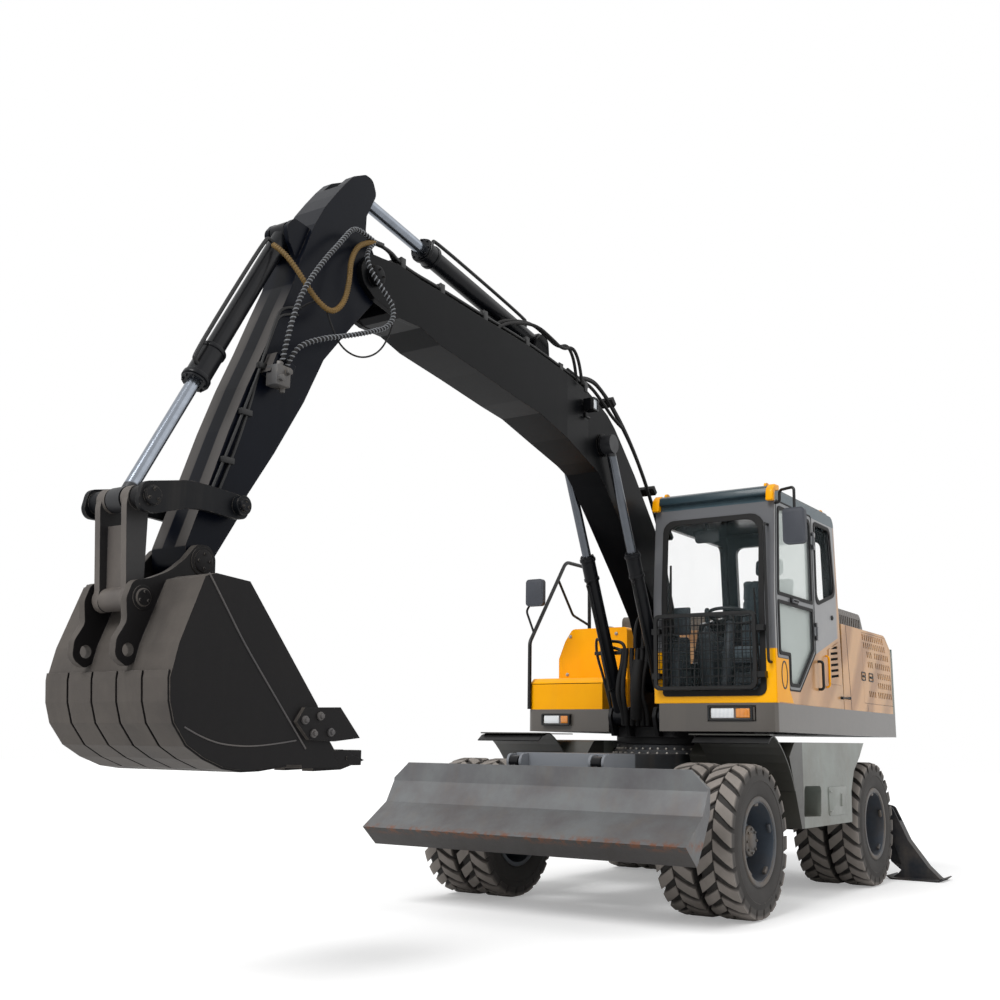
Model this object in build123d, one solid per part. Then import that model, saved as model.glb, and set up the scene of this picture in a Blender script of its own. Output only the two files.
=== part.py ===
from build123d import *
import math
import os

# Millimetres. X forward, Y to the cab side, Z up from the ground.
# Shapes are drawn from the slew axis, then moved so that the frame's
# origin is under the middle of the whole machine.
SHIFT_X = 1808.457

# Wheels and axles
TYRE_R = 514.0
TYRE_W = 256.0
TWIN_GAP = 42.0
LUGS = 24
LUG_DEPTH = 24.0
WHEEL_OUT = 1250.0
RIM_R = 276.0
FRONT_X = 1362.0
REAR_X = -1258.0
AXLE_Z = TYRE_R
KINGPIN_Y = 600.0
HUB_IN = 705.0

# Slewing and house
DECK_Z = 1255.0
DECK_T = 35.0
SKIRT_TOP = 1459.0
GUARD_TOP = 1232.0
SIDE_L = 1246.0
SIDE_R = -1226.0
CAB_RIGHT = 262.0
CAB_FRONT = 950.0
ROOF_Z = 3054.0
TAIL_X = -2030.0
REAR = -2300.0
HOUSE_TOP = 2168.0
ENGINE_Z = 1440.0
TANK_Z = 1436.0
SKIRT_L = 50.0
SKIRT_R = 45.0
SKIRT_F = 55.0

# Pins of the blade and the stands
BLADE_PIN = (1700.0, 560.0)
BLADE_FOOT = (1968.0, 1015.0)
BLADE_EYE = (2115.0, 600.0)
BLADE_CYL_Y = 336.0
STAND_X = -2060.0
STAND_PIN = (500.0, 450.0)
STAND_EYE = (1120.0, 575.0)
STAND_FOOT = (365.0, 1085.0)

# Pins of the boom, arm and bucket, each X and Z
BOOM_PIN = (212.0, 1680.0)
ARM_PIN = (4300.0, 3795.0)
BUCKET_PIN = (5461.0, 1957.0)
ROCKER_PIN = (5285.0, 2251.0)
ROD_PIN = (5814.0, 2206.0)
LINK_PIN = (5793.0, 1750.0)
BOOM_CYL_FOOT = (625.0, 1370.0)
BOOM_CYL_EYE = (1545.0, 3390.0)
BOOM_CYL_Y = 200.0
ARM_CYL_FOOT = (2330.0, 4000.0)
ARM_CYL_EYE = (4330.0, 4350.0)
BUCKET_CYL_FOOT = (4890.0, 3870.0)
DOOR_HINGE = (83.0, SIDE_L + 16)
LID_HINGE = (-936.0, 2183.0)
COVER_FRONT = -568.0
SPIGOT_R = 400.0

# Pins: radius of each, and the play of a pin in its hole or a rod in its gland
RUN = 0.4
BLADE_PIN_R = 30.0
STAND_PIN_R = 30.0
STAND_FOOT_R = 22.0
STAND_ROD_R = 20.0
KINGPIN_R = 30.0
SPINDLE_R = 58.0
BOOM_PIN_R = 42.0
ARM_PIN_R = 40.0
ROCKER_PIN_R = 32.0
BUCKET_PIN_R = 34.0
DOOR_PIN_R = 5.0
LID_PIN_R = 6.0

STAND_HALF = 60.0
STAND_SLOT = 46.0
STAND_EAR = 90.0
BOOM_HALF_LOW = 138.0
BOOM_HALF = 160.0
ARM_HALF = 118.0
BUCKET_HALF = 425.0
EAR_IN = 125.0
EAR_OUT = 165.0
LEVER_IN = 176.0
LEVER_OUT = 202.0
WEAR_PLATES = 5
WEAR_THICK = 9.0
WEAR_GAP = 7.0


def corners(points, closed=True):
    """Edges through corner points; a third value rounds that corner."""
    count = len(points)
    spots = []
    for i, point in enumerate(points):
        here = Vector(point[0], point[1])
        radius = point[2] if len(point) > 2 else 0
        inner = closed or 0 < i < count - 1
        if radius and inner:
            before = Vector(*points[i - 1][:2])
            after = Vector(*points[(i + 1) % count][:2])
            u1 = (before - here).normalized()
            u2 = (after - here).normalized()
            half = u1.get_angle(u2) * math.pi / 360
            reach = radius / math.tan(half)
            out = radius / math.sin(half) - radius
            bisector = (u1 + u2).normalized()
            spots.append((here + u1 * reach, here + bisector * out, here + u2 * reach))
        else:
            spots.append((here,))
    return spots


def drawn(points, place, closed=True):
    spots = corners(points, closed)
    edges = []
    for i, spot in enumerate(spots):
        if len(spot) == 3:
            a, b, c = (place(p.X, p.Y) for p in spot)
            edges.append(Edge.make_three_point_arc(a, b, c))
        if i == len(spots) - 1 and not closed:
            break
        start = spot[-1]
        end = spots[(i + 1) % len(spots)][0]
        if (end - start).length > 0.001:
            edges.append(Edge.make_line(place(start.X, start.Y), place(end.X, end.Y)))
    return edges


PLANES = {
    "xz": (lambda low: lambda u, v: Vector(u, low, v), Vector(0, 1, 0)),
    "yz": (lambda low: lambda u, v: Vector(low, u, v), Vector(1, 0, 0)),
    "xy": (lambda low: lambda u, v: Vector(u, v, low), Vector(0, 0, 1)),
}


def slab(points, low, high, plane="xz"):
    """A plate cut to an outline, from low to high across its plane."""
    at, across = PLANES[plane]
    face = Face(Wire(drawn(points, at(low))))
    return Solid.extrude(face, across * (high - low))


def pair(points, low, high, plane="xz"):
    """The same plate on both sides of the middle."""
    return [slab(points, low, high, plane), slab(points, -high, -low, plane)]


def block(x, y, z):
    size = (x[1] - x[0], y[1] - y[0], z[1] - z[0])
    solid = Solid.make_box(*size)
    return solid.moved(Location((x[0], y[0], z[0])))


def bar(start, end, radius):
    a = Vector(*start)
    way = Vector(*end) - a
    return Solid.make_cylinder(radius, way.length, Plane(origin=a, z_dir=way.normalized()))


def cross(pin, radius, low, high):
    """A round pin or boss across the machine, at X and Z."""
    return bar((pin[0], low, pin[1]), (pin[0], high, pin[1]), radius)


def crosses(pin, radius, low, high):
    return [cross(pin, radius, low, high), cross(pin, radius, -high, -low)]


def turned(profile, x, z):
    """A ring turned about a wheel's axis; profile is Y and radius."""
    place = lambda y, r: Vector(x, y, z + r)
    face = Face(Wire(drawn(profile, place)))
    return Solid.revolve(face, 360, Axis((x, 0, z), (0, 1, 0)))


def pipe(points, radius):
    """A bent tube through points; a fourth value is the bend's radius."""
    edges = []
    last = None
    for i, p in enumerate(points):
        here = Vector(*p[:3])
        bend = p[3] if len(p) > 3 else 0
        if bend and 0 < i < len(points) - 1:
            u1 = (Vector(*points[i - 1][:3]) - here).normalized()
            u2 = (Vector(*points[i + 1][:3]) - here).normalized()
            half = u1.get_angle(u2) * math.pi / 360
            reach = bend / math.tan(half)
            out = bend / math.sin(half) - bend
            first = here + u1 * reach
            middle = here + (u1 + u2).normalized() * out
            second = here + u2 * reach
            edges.append(Edge.make_line(last, first))
            edges.append(Edge.make_three_point_arc(first, middle, second))
            last = second
        else:
            if last is not None:
                edges.append(Edge.make_line(last, here))
            last = here
    path = Wire(edges)
    start = Vector(*points[0][:3])
    way = (Vector(*points[1][:3]) - start).normalized()
    section = Face(Wire.make_circle(radius, Plane(origin=start, z_dir=way)))
    return Solid.sweep(section, path, transition=Transition.RIGHT)


def joined(first, *others):
    solid = first
    for other in others:
        for one in (other if isinstance(other, (list, tuple)) else [other]):
            solid = solid.fuse(one)
    if isinstance(solid, (list, ShapeList)):
        solid = Compound(list(solid))
    return solid.clean()


def less(solid, *others):
    for other in others:
        for one in (other if isinstance(other, (list, tuple)) else [other]):
            solid = solid.cut(one)
            if isinstance(solid, (list, ShapeList)):
                solid = Compound(list(solid))
    return solid


def mirrored(solid):
    return solid.mirror(Plane.XZ)


def band(points, thickness):
    """Outline of a bent plate: the points, then their inner side."""
    inner = []
    count = len(points)
    for i in range(count):
        a = points[max(i - 1, 0)]
        b = points[i]
        c = points[min(i + 1, count - 1)]
        n1 = normal(a, b) if i > 0 else normal(b, c)
        n2 = normal(b, c) if i < count - 1 else normal(a, b)
        nx, nz = n1[0] + n2[0], n1[1] + n2[1]
        scale = 2 / (nx * nx + nz * nz)
        inner.append((b[0] + nx * scale * thickness, b[1] + nz * scale * thickness))
    return [(p[0], p[1]) for p in points] + inner[::-1]


def normal(a, b):
    dx, dz = b[0] - a[0], b[1] - a[1]
    length = math.hypot(dx, dz)
    return (dz / length, -dx / length)


def along(start, end, distance):
    """The point so far from start towards end."""
    length = math.dist(start, end)
    return tuple(a + (b - a) * distance / length for a, b in zip(start, end))


# Undercarriage
def chassis():
    side = [(1900, 1080), (1900, 790, 30), (1790, 745, 40), (1600, 700), (1130, 700),
            (1080, 672), (700, 672), (560, 560), (-680, 560), (-860, 672), (-990, 672),
            (-1030, 720), (-1500, 720), (-1560, 672), (-1900, 672), (-2000, 740, 40),
            (-2000, 1010, 40), (-1900, 1060), (-700, 1080)]
    frame = slab(side, -380, 380)
    centre = block((-560, 560), (-450, 450), (620, 1080))
    ring_base = bar((0, 0, 1060), (0, 0, 1110), 535)
    ring = bar((0, 0, 1110), (0, 0, 1150), 498)
    spigot = bar((0, 0, 1140), (0, 0, 1190), SPIGOT_R)
    lugs = []
    lug = [(1625, 720), (1630, 540, 50), (1700, 488, 60), (1770, 540, 50), (1790, 760)]
    for low, high in ((200, 243), (300, 340)):
        lugs += pair(lug, low, high)
    head = [(1880, 1075), (1985, 1072, 45), (2020, 1010, 50), (1965, 950, 50), (1880, 900)]
    for low, high in ((274, 294), (378, 398)):
        lugs += pair(head, low, high)
    lugs += pair([(1860, 900), (1900, 900), (1900, 1075), (1860, 1075)], 370, 398)
    arms = []
    for side_y in (1, -1):
        box = block((STAND_X - STAND_EAR, STAND_X + STAND_EAR), (300, 430), (400, 975))
        ear = [(420, 380), (520, 385, 50), (575, 450, 60), (520, 515, 50), (420, 540)]
        ears = slab(ear, STAND_X - STAND_EAR, STAND_X - STAND_HALF - 6, "yz")
        ears2 = slab(ear, STAND_X + STAND_HALF + 6, STAND_X + STAND_EAR, "yz")
        top = [(290, 960), (420, 1020, 40), (400, 1130, 45), (330, 1130, 45), (270, 1060)]
        t1 = slab(top, STAND_X - 62, STAND_X - 42, "yz")
        t2 = slab(top, STAND_X + 42, STAND_X + 62, "yz")
        for one in (box, ears, ears2, t1, t2):
            arms.append(one if side_y > 0 else mirrored(one))
    cross_beam = block((STAND_X - STAND_EAR, STAND_X + STAND_EAR), (-380, 380), (640, 960))
    solid = joined(frame, centre, ring_base, ring, spigot, lugs, arms, cross_beam)
    holes = [cross(BLADE_PIN, BLADE_PIN_R + RUN, -345, 345)]
    pins = crosses(BLADE_FOOT, CYLINDERS["blade"]["foot_pin"], 276, 396)
    for y in (STAND_PIN[0], -STAND_PIN[0]):
        holes.append(bar((STAND_X - 100, y, STAND_PIN[1]), (STAND_X + 100, y, STAND_PIN[1]),
                         STAND_PIN_R + RUN))
    for y in (STAND_FOOT[0], -STAND_FOOT[0]):
        pins.append(bar((STAND_X - 60, y, STAND_FOOT[1]), (STAND_X + 60, y, STAND_FOOT[1]),
                        STAND_FOOT_R))
    return joined(less(solid, holes), pins)


def side_boxes():
    """Step and tool boxes between the wheels, with the mudguards."""
    side = [(530, 556), (746, 1075), (634, 1180, 60), (-1034, 1190), (-905, 1074),
            (-740, 960), (-650, 800), (-640, 556)]
    box = slab(side, 450, 1245)
    foothold = slab([(106, 630, 20), (479, 640, 20), (455, 862, 40), (77, 856, 40)], 1060, 1300)
    box = less(box, foothold, bar((0, 0, 1040), (0, 0, 1250), 545))
    guard = []
    for deg in range(108, 157, 6):
        a = math.radians(deg)
        guard.append((FRONT_X + 785 * math.cos(a), min(AXLE_Z + 785 * math.sin(a), GUARD_TOP)))
    front = slab(band(guard, -10), 620, 1245)
    box = joined(box, front)
    return [box, mirrored(box)]


def axles():
    beam = block((FRONT_X - 70, FRONT_X + 70), (-545, 545), (444, 584))
    casing = bar((FRONT_X - 190, 0, AXLE_Z), (FRONT_X + 150, 0, AXLE_Z), 175)
    saddle = block((FRONT_X - 110, FRONT_X + 110), (-140, 140), (560, 700))
    ends = [bar((FRONT_X, s * KINGPIN_Y, 444), (FRONT_X, s * KINGPIN_Y, 584), 62) for s in (1, -1)]
    arms = [block((FRONT_X - 55, FRONT_X + 55), (min(s * 540, s * 600), max(s * 540, s * 600)),
                  (450, 578)) for s in (1, -1)]
    cylinder = bar((FRONT_X - 190, -330, 470), (FRONT_X - 190, 330, 470), 45)
    rods = bar((FRONT_X - 190, -500, 470), (FRONT_X - 190, 500, 470), 20)
    holder = block((FRONT_X - 200, FRONT_X - 60), (-60, 60), (440, 500))
    front = joined(beam, casing, saddle, ends, arms, cylinder, rods, holder)
    front = less(front, [bar((FRONT_X, s * KINGPIN_Y, 400), (FRONT_X, s * KINGPIN_Y, 620), KINGPIN_R + RUN)
                         for s in (1, -1)])
    tube = bar((REAR_X, -640, AXLE_Z), (REAR_X, 640, AXLE_Z), 86)
    drum = [bar((REAR_X, min(s * 590, s * 690), AXLE_Z), (REAR_X, max(s * 590, s * 690), AXLE_Z), 150)
            for s in (1, -1)]
    spindle = bar((REAR_X, -890, AXLE_Z), (REAR_X, 890, AXLE_Z), SPINDLE_R)
    diff = bar((REAR_X - 150, 0, AXLE_Z), (REAR_X + 210, 0, AXLE_Z), 200)
    pads = pair([(REAR_X - 100, 540), (REAR_X + 100, 540), (REAR_X + 100, 720),
                 (REAR_X - 100, 720)], 230, 330)
    rear = joined(tube, drum, spindle, diff, pads)
    gearbox = joined(block((-420, -60), (-150, 150), (400, 560)),
                     bar((-240, -190, 445), (-240, 190, 445), 110))
    shaft_front = bar((-60, 0, 500), (FRONT_X - 190, 0, 500), 38)
    shaft_rear = bar((REAR_X + 210, 0, 500), (-420, 0, 500), 38)
    return [front, rear, gearbox, shaft_front, shaft_rear]


def knuckle():
    """The left steering knuckle, with its kingpin and spindle."""
    x, y = FRONT_X, KINGPIN_Y
    ears = []
    for low, high in ((592, 628), (400, 436)):
        plan = [(x - 75, y - 60, 55), (x + 75, y - 60, 55), (x + 95, 690), (x - 95, 690)]
        ears.append(slab(plan, low, high, "xy"))
    flange = block((x - 105, x + 105), (672, 695), (400, 628))
    spindle = bar((x, 690, AXLE_Z), (x, 890, AXLE_Z), SPINDLE_R)
    kingpin = bar((x, y, 400), (x, y, 628), KINGPIN_R)
    arm = slab([(x - 40, 585), (x - 215, 525, 20), (x - 215, 575, 20), (x - 40, 680)],
               405, 430, "xy")
    return joined(flange, ears, spindle, kingpin, arm)


def tyre():
    """One tyre about its axle at the origin, with two rows of slanted lugs."""
    half = TYRE_W / 2
    floor = TYRE_R - LUG_DEPTH
    profile = [(-half + 20, RIM_R), (-half, 345), (-half, 445), (-half + 26, floor - 10),
               (-half + 50, floor), (half - 50, floor), (half - 26, floor - 10), (half, 445),
               (half, 345), (half - 20, RIM_R)]
    carcass = turned(profile, 0, 0)
    plan = [(-88, 4), (-12, 4), (99, half - 3), (12, half - 3)]
    lug = slab(plan, 440, math.sqrt(TYRE_R ** 2 - 99 ** 2), "xy")
    turn = 360 / LUGS
    rows = []
    for i in range(LUGS):
        rows.append(lug.rotate(Axis.Y, i * turn))
        rows.append(mirrored(lug).rotate(Axis.Y, (i + 0.5) * turn))
    return carcass.fuse(*rows)


MADE = {}


def tyres(x):
    """Both tyres of the left side at one axle."""
    if "tyre" not in MADE:
        MADE["tyre"] = tyre()
    middle = WHEEL_OUT - TYRE_W / 2
    return [MADE["tyre"].moved(Location((x, y, AXLE_Z)))
            for y in (middle, middle - TYRE_W - TWIN_GAP)]


def rims(x, hub_out):
    """Both rims of one side with the disc between and the hub."""
    bore = SPINDLE_R + RUN
    profile = [(HUB_IN, bore), (HUB_IN, 150), (925, 150), (942, 258), (704, 258), (704, 290),
               (712, RIM_R), (1234, RIM_R), (1242, 290), (1242, 258), (1006, 258),
               (985, 160), (hub_out - 25, 150), (hub_out, 125), (hub_out, 0), (900, 0),
               (900, bore)]
    return turned(profile, x, AXLE_Z)


# Blade
BLADE_FACE = [(2200, 995), (2216, 862), (2300, 715), (2556, 547), (2408, 422)]


def blade():
    section = [(2200, 995), (2216, 862), (2300, 715), (2556, 547), (2408, 422), (2380, 445),
               (2270, 600), (2196, 720), (2184, 862), (2184, 995)]
    board = slab(section, -1257, 1257)
    clip = [[(1120, 1010), (1300, 1010), (1300, 845)], [(-1120, 1010), (-1300, 1010), (-1300, 845)]]
    for corner in clip:
        board = less(board, slab(corner, 2100, 2400, "yz"))
    arm = [(1640, 545), (1665, 630, 60), (1740, 642, 60), (2240, 700), (2300, 560),
           (1740, 500, 60), (1660, 500, 60)]
    arms = pair(arm, 250, 292)
    tube = cross((2150, 610), 50, -252, 252)
    bracket = [(2056, 585, 40), (2075, 655, 40), (2160, 665, 40), (2230, 690), (2280, 570),
               (2120, 535, 40)]
    plates = pair(bracket, 378, 398)
    cross_plate = block((2190, 2240), (-398, 398), (600, 700))
    ribs = []
    for y in (620, 900, 1180):
        ribs += pair([(2190, 960), (2130, 860), (2150, 640), (2290, 600)], y - 8, y + 8)
    pin = cross(BLADE_PIN, BLADE_PIN_R, -338, 338)
    return joined(board, arms, tube, plates, cross_plate, ribs, pin)


def cylinder_barrel(foot, eye, y, reach, tube, gland, collar, eye_r, half):
    """Barrel, gland and foot eye on one side view line; all at one Y."""
    start = (foot[0], y, foot[1])
    end2 = along(foot, eye, reach)
    near2 = along(foot, eye, reach - collar)
    begin = along(foot, eye, eye_r * 0.7)
    hull = bar((begin[0], y, begin[1]), (end2[0], y, end2[1]), tube)
    neck = bar((near2[0], y, near2[1]), (end2[0], y, end2[1]), gland)
    ring = cross(foot, eye_r, y - half, y + half)
    return joined(hull, neck, ring)


def barrel_bore(foot, eye, y, reach, rod, closed):
    deep = along(foot, eye, reach - closed)
    end = along(foot, eye, reach + 20)
    return bar((deep[0], y, deep[1]), (end[0], y, end[1]), rod + RUN)


def cylinder_rod(foot, eye, y, reach, rod, hidden, eye_r, half, pin, pin_half):
    inside = along(foot, eye, reach - hidden)
    stop = along(foot, eye, math.dist(foot, eye) - eye_r * 0.7)
    stem = bar((inside[0], y, inside[1]), (stop[0], y, stop[1]), rod)
    ring = cross(eye, eye_r, y - half, y + half)
    return joined(stem, ring, cross(eye, pin, y - pin_half, y + pin_half))


# Name, foot, eye, Y of each, barrel's length, barrel, gland, rod, foot eye, its half width
CYLINDERS = {
    "boom": dict(foot=BOOM_CYL_FOOT, eye=BOOM_CYL_EYE, at=(BOOM_CYL_Y, -BOOM_CYL_Y),
                 reach=1355, tube=52, gland=56, collar=185, rod=36, foot_r=70, half=43, eye_r=72,
                 eye_half=43, hidden=700, inward=470, pin=38, pin_half=43, foot_pin=36),
    "arm": dict(foot=ARM_CYL_FOOT, eye=ARM_CYL_EYE, at=(0,), reach=1370, tube=62, gland=74, collar=110,
                rod=40, foot_r=66, half=62, eye_r=66, eye_half=48, hidden=640,
                inward=490, pin=36, pin_half=55.6, foot_pin=36),
    "bucket": dict(foot=BUCKET_CYL_FOOT, eye=ROD_PIN, at=(0,), reach=1150, tube=52, gland=66, collar=215,
                   rod=35, foot_r=58, half=50, eye_r=60, eye_half=46, hidden=450,
                   inward=545, pin=32, pin_half=51.6, foot_pin=32),
    "blade": dict(foot=BLADE_FOOT, eye=BLADE_EYE, at=(BLADE_CYL_Y, -BLADE_CYL_Y), reach=350,
                  tube=36, gland=40, collar=60, rod=25, foot_r=46, half=34, eye_r=46, eye_half=34, hidden=298,
                  inward=20, pin=22, pin_half=41.6, foot_pin=22),
}


def barrels(name):
    c = CYLINDERS[name]
    made = []
    pin_hole = c["foot_pin"] + RUN
    for y in c["at"]:
        solid = cylinder_barrel(c["foot"], c["eye"], y, c["reach"], c["tube"], c["gland"],
                                c["collar"], c["foot_r"], c["half"])
        bore = barrel_bore(c["foot"], c["eye"], y, c["reach"], c["rod"],
                           c["hidden"] + c["inward"] + 4)
        hole = cross(c["foot"], pin_hole, y - c["half"] - 9, y + c["half"] + 9)
        made.append(less(solid, bore, hole))
    return made


def rods(name):
    c = CYLINDERS[name]
    made = []
    for y in c["at"]:
        made.append(cylinder_rod(c["foot"], c["eye"], y, c["reach"], c["rod"], c["hidden"],
                                 c["eye_r"], c["eye_half"], c["pin"], c["pin_half"]))
    return made


def foot_pins(name, low, high):
    """Pins that a barrel's foot turns on; they belong to the bracket."""
    c = CYLINDERS[name]
    return [cross(c["foot"], c["foot_pin"], y - low, y + high) for y in c["at"]]


# Rear stands
def stand():
    """The left stand, a leg on its chassis pin with a fixed foot plate."""
    leg = [(450, 420, 50), (470, 510, 50), (560, 505, 80), (1050, 610, 60), (1110, 645, 60),
           (1180, 630, 50), (1235, 510, 60), (1310, 340), (1470, 120), (1580, 14), (1580, 0),
           (1165, 0), (1165, 18), (1245, 70), (1100, 190), (560, 400, 80), (500, 385, 50)]
    hollow = [(640, 330), (1240, 120), (1130, 470), (760, 430)]
    body = less(slab(leg, STAND_X - STAND_HALF, STAND_X + STAND_HALF, "yz"),
                slab(hollow, STAND_X - 100, STAND_X - 30, "yz"),
                slab(hollow, STAND_X + 30, STAND_X + 100, "yz"))
    plate = [(1165, 0), (1580, 0), (1620, 30), (1612, 36), (1575, 14), (1170, 14), (1135, 34),
             (1127, 28)]
    foot = slab(plate, STAND_X - 165, STAND_X + 165, "yz")
    gusset = slab([(1180, 10), (1560, 10), (1440, 150), (1290, 150)], STAND_X - 60, STAND_X + 60,
                  "yz")
    pin = bar((STAND_X - STAND_EAR - 4, *STAND_PIN), (STAND_X + STAND_EAR + 4, *STAND_PIN),
              STAND_PIN_R)
    slot = block((STAND_X - STAND_SLOT, STAND_X + STAND_SLOT), (1000, 1300), (505, 700))
    return joined(less(joined(body, foot, gusset), slot), pin)


STAND_REACH = 515.0
STAND_HIDDEN = 90.0
STAND_STROKE = 343.0


def stand_line(distance):
    y, z = along(STAND_FOOT, STAND_EYE, distance)
    return (STAND_X, y, z)


def stand_barrel():
    hull = joined(bar(stand_line(30), stand_line(STAND_REACH), 36),
                  bar(stand_line(STAND_REACH - 50), stand_line(STAND_REACH), 40),
                  bar((STAND_X - 34, *STAND_FOOT), (STAND_X + 34, *STAND_FOOT), 40))
    deep = STAND_REACH - STAND_HIDDEN - STAND_STROKE - 8
    return less(hull, bar(stand_line(deep), stand_line(STAND_REACH + 20), STAND_ROD_R + RUN),
                bar((STAND_X - 60, *STAND_FOOT), (STAND_X + 60, *STAND_FOOT), STAND_FOOT_R + RUN))


def stand_rod():
    whole = math.dist(STAND_FOOT, STAND_EYE)
    half = STAND_SLOT - RUN
    return joined(bar(stand_line(STAND_REACH - STAND_HIDDEN), stand_line(whole - 20), STAND_ROD_R),
                  bar((STAND_X - half + 8, *STAND_EYE), (STAND_X + half - 8, *STAND_EYE), 36),
                  bar((STAND_X - half, *STAND_EYE), (STAND_X + half, *STAND_EYE), STAND_ROD_R))


# House
def upper_frame():
    left, right, front = SIDE_L - SKIRT_L, SIDE_R + SKIRT_R, CAB_FRONT - SKIRT_F
    deck_plan = [(front, left, 60), (-1900, left, 80), (TAIL_X, 900, 80), (TAIL_X, -900, 80),
                 (-1900, right, 80), (380, right, 40), (380, -420), (560, -290), (560, 290),
                 (front, 300)]
    deck = slab(deck_plan, DECK_Z, DECK_Z + DECK_T, "xy")
    ring = less(bar((0, 0, 1156), (0, 0, DECK_Z), 511),
                bar((0, 0, 1150), (0, 0, 1200), SPIGOT_R + RUN))
    low_plate = slab([(560, 270), (-700, 400), (-700, -400), (560, -270)], 1210, DECK_Z, "xy")
    cheek = [(-560, DECK_Z + 10), (540, DECK_Z + 10), (480, 1440), (318, 1690, 60),
             (240, 1790, 60), (180, 1790, 60), (100, 1690, 60), (-80, 1480), (-560, 1400)]
    cheeks = pair(cheek, 152, 192)
    caps = crosses(BOOM_PIN, 60, 190, 206)
    lug = [(420, DECK_Z), (470, 1330), (560, 1400, 40), (590, 1447, 50), (670, 1447, 50),
           (702, 1370, 50), (680, 1300), (640, 1215), (420, 1215)]
    lugs = pair(lug, 110, 141) + pair(lug, 259, 284)
    pins = [cross(BOOM_PIN, BOOM_PIN_R, -200, 200)]
    pins += foot_pins("boom", 78, 78)
    mounts = []
    for x in (800, 300, -350):
        for y in (CAB_RIGHT + 118, SIDE_L - 166):
            mounts.append(block((x - 50, x + 50), (y - 50, y + 50), (DECK_Z + 10, SKIRT_TOP)))
    rear_beam = pair([(TAIL_X, DECK_Z + 10), (-560, DECK_Z + 10), (-560, 1400), (-1200, ENGINE_Z),
                      (TAIL_X, ENGINE_Z)], 152, 192)
    lower = joined(deck, ring, low_plate, cheeks, caps, lugs, mounts, rear_beam)
    frame = joined(lower, pins)
    engine = block((-1860, -1320), (-560, 620), (ENGINE_Z, 2060))
    tank = block((-1080, -700), (-1100, -560), (DECK_Z + DECK_T, 2000))
    return [frame, engine, tank]


def skirt():
    """Bent sheet panels round the foot of the house."""
    z0, z1 = DECK_Z - 4, SKIRT_TOP
    left = slab([(CAB_FRONT, 300), (CAB_FRONT, SIDE_L, 25), (TAIL_X, SIDE_L),
                 (TAIL_X, SIDE_L - SKIRT_L), (CAB_FRONT - SKIRT_F, SIDE_L - SKIRT_L),
                 (CAB_FRONT - SKIRT_F, 300)], z0, z1, "xy")
    right = slab([(440, -420), (440, SIDE_R, 60), (TAIL_X, SIDE_R), (TAIL_X, SIDE_R + SKIRT_R),
                  (392, SIDE_R + SKIRT_R), (392, -420)], z0, TANK_Z, "xy")
    behind = block((TAIL_X, COVER_FRONT), (SIDE_R, SIDE_R + SKIRT_R), (TANK_Z, z1))
    right = joined(right, behind)
    left = less(left, block((CAB_FRONT - 32, CAB_FRONT + 60), (SIDE_L - 548, SIDE_L - 164), (1324, 1442)))
    left = joined(left, block((CAB_FRONT - 55, CAB_FRONT - 4), (SIDE_L - 534, SIDE_L - 178), (1336, 1430)))
    right = joined(right, block((430, 462), (-1060, -780), (1300, 1400)))
    return [left, right]


CAB_SIDE = [(CAB_FRONT, SKIRT_TOP), (CAB_FRONT, 2250), (878, ROOF_Z, 70), (-470, ROOF_Z, 80),
            (-560, SKIRT_TOP)]
DOOR_OUT = [(905, 1790), (905, 2240), (850, 2968, 30), (86, 2968, 30), (92, 1878),
            (470, 1566, 40), (690, 1566, 30), (690, 1790)]


DOOR_UPPER = [(864, 2264, 15), (816, 2930, 45), (126, 2930, 45), (130, 2264, 15)]
DOOR_LOWER = [(866, 2210, 15), (866, 1822, 25), (662, 1822, 20), (662, 1596, 25), (484, 1596, 25),
              (130, 1894, 25), (130, 2210, 15)]
SIDE_WINDOW = [(34, 2266, 60), (24, 2934, 50), (-352, 2934, 60), (-425, 2390, 80)]


def grown(points, amount):
    """The outline moved out by an amount, corners kept."""
    count = len(points)
    made = []
    for i in range(count):
        a, b, c = points[i - 1], points[i], points[(i + 1) % count]
        n1, n2 = normal(a, b), normal(b, c)
        nx, nz = n1[0] + n2[0], n1[1] + n2[1]
        scale = 2 / (nx * nx + nz * nz)
        made.append((b[0] + nx * scale * amount, b[1] + nz * scale * amount) + tuple(b[2:]))
    return made


WALL = 45.0
FRONT_LEFT, FRONT_RIGHT = SIDE_L - 96, CAB_RIGHT + 93
FRONT_WINDOW = [(FRONT_RIGHT, 1530, 30), (FRONT_LEFT, 1530, 60), (FRONT_LEFT, 2860, 110),
                (FRONT_RIGHT, 2860, 90)]
REAR_LEFT, REAR_RIGHT = SIDE_L - 106, CAB_RIGHT + 118
REAR_WINDOW = [(REAR_RIGHT, 2260, 60), (REAR_LEFT, 2260, 60), (REAR_LEFT, 2860, 60),
               (REAR_RIGHT, 2860, 60)]


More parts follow.
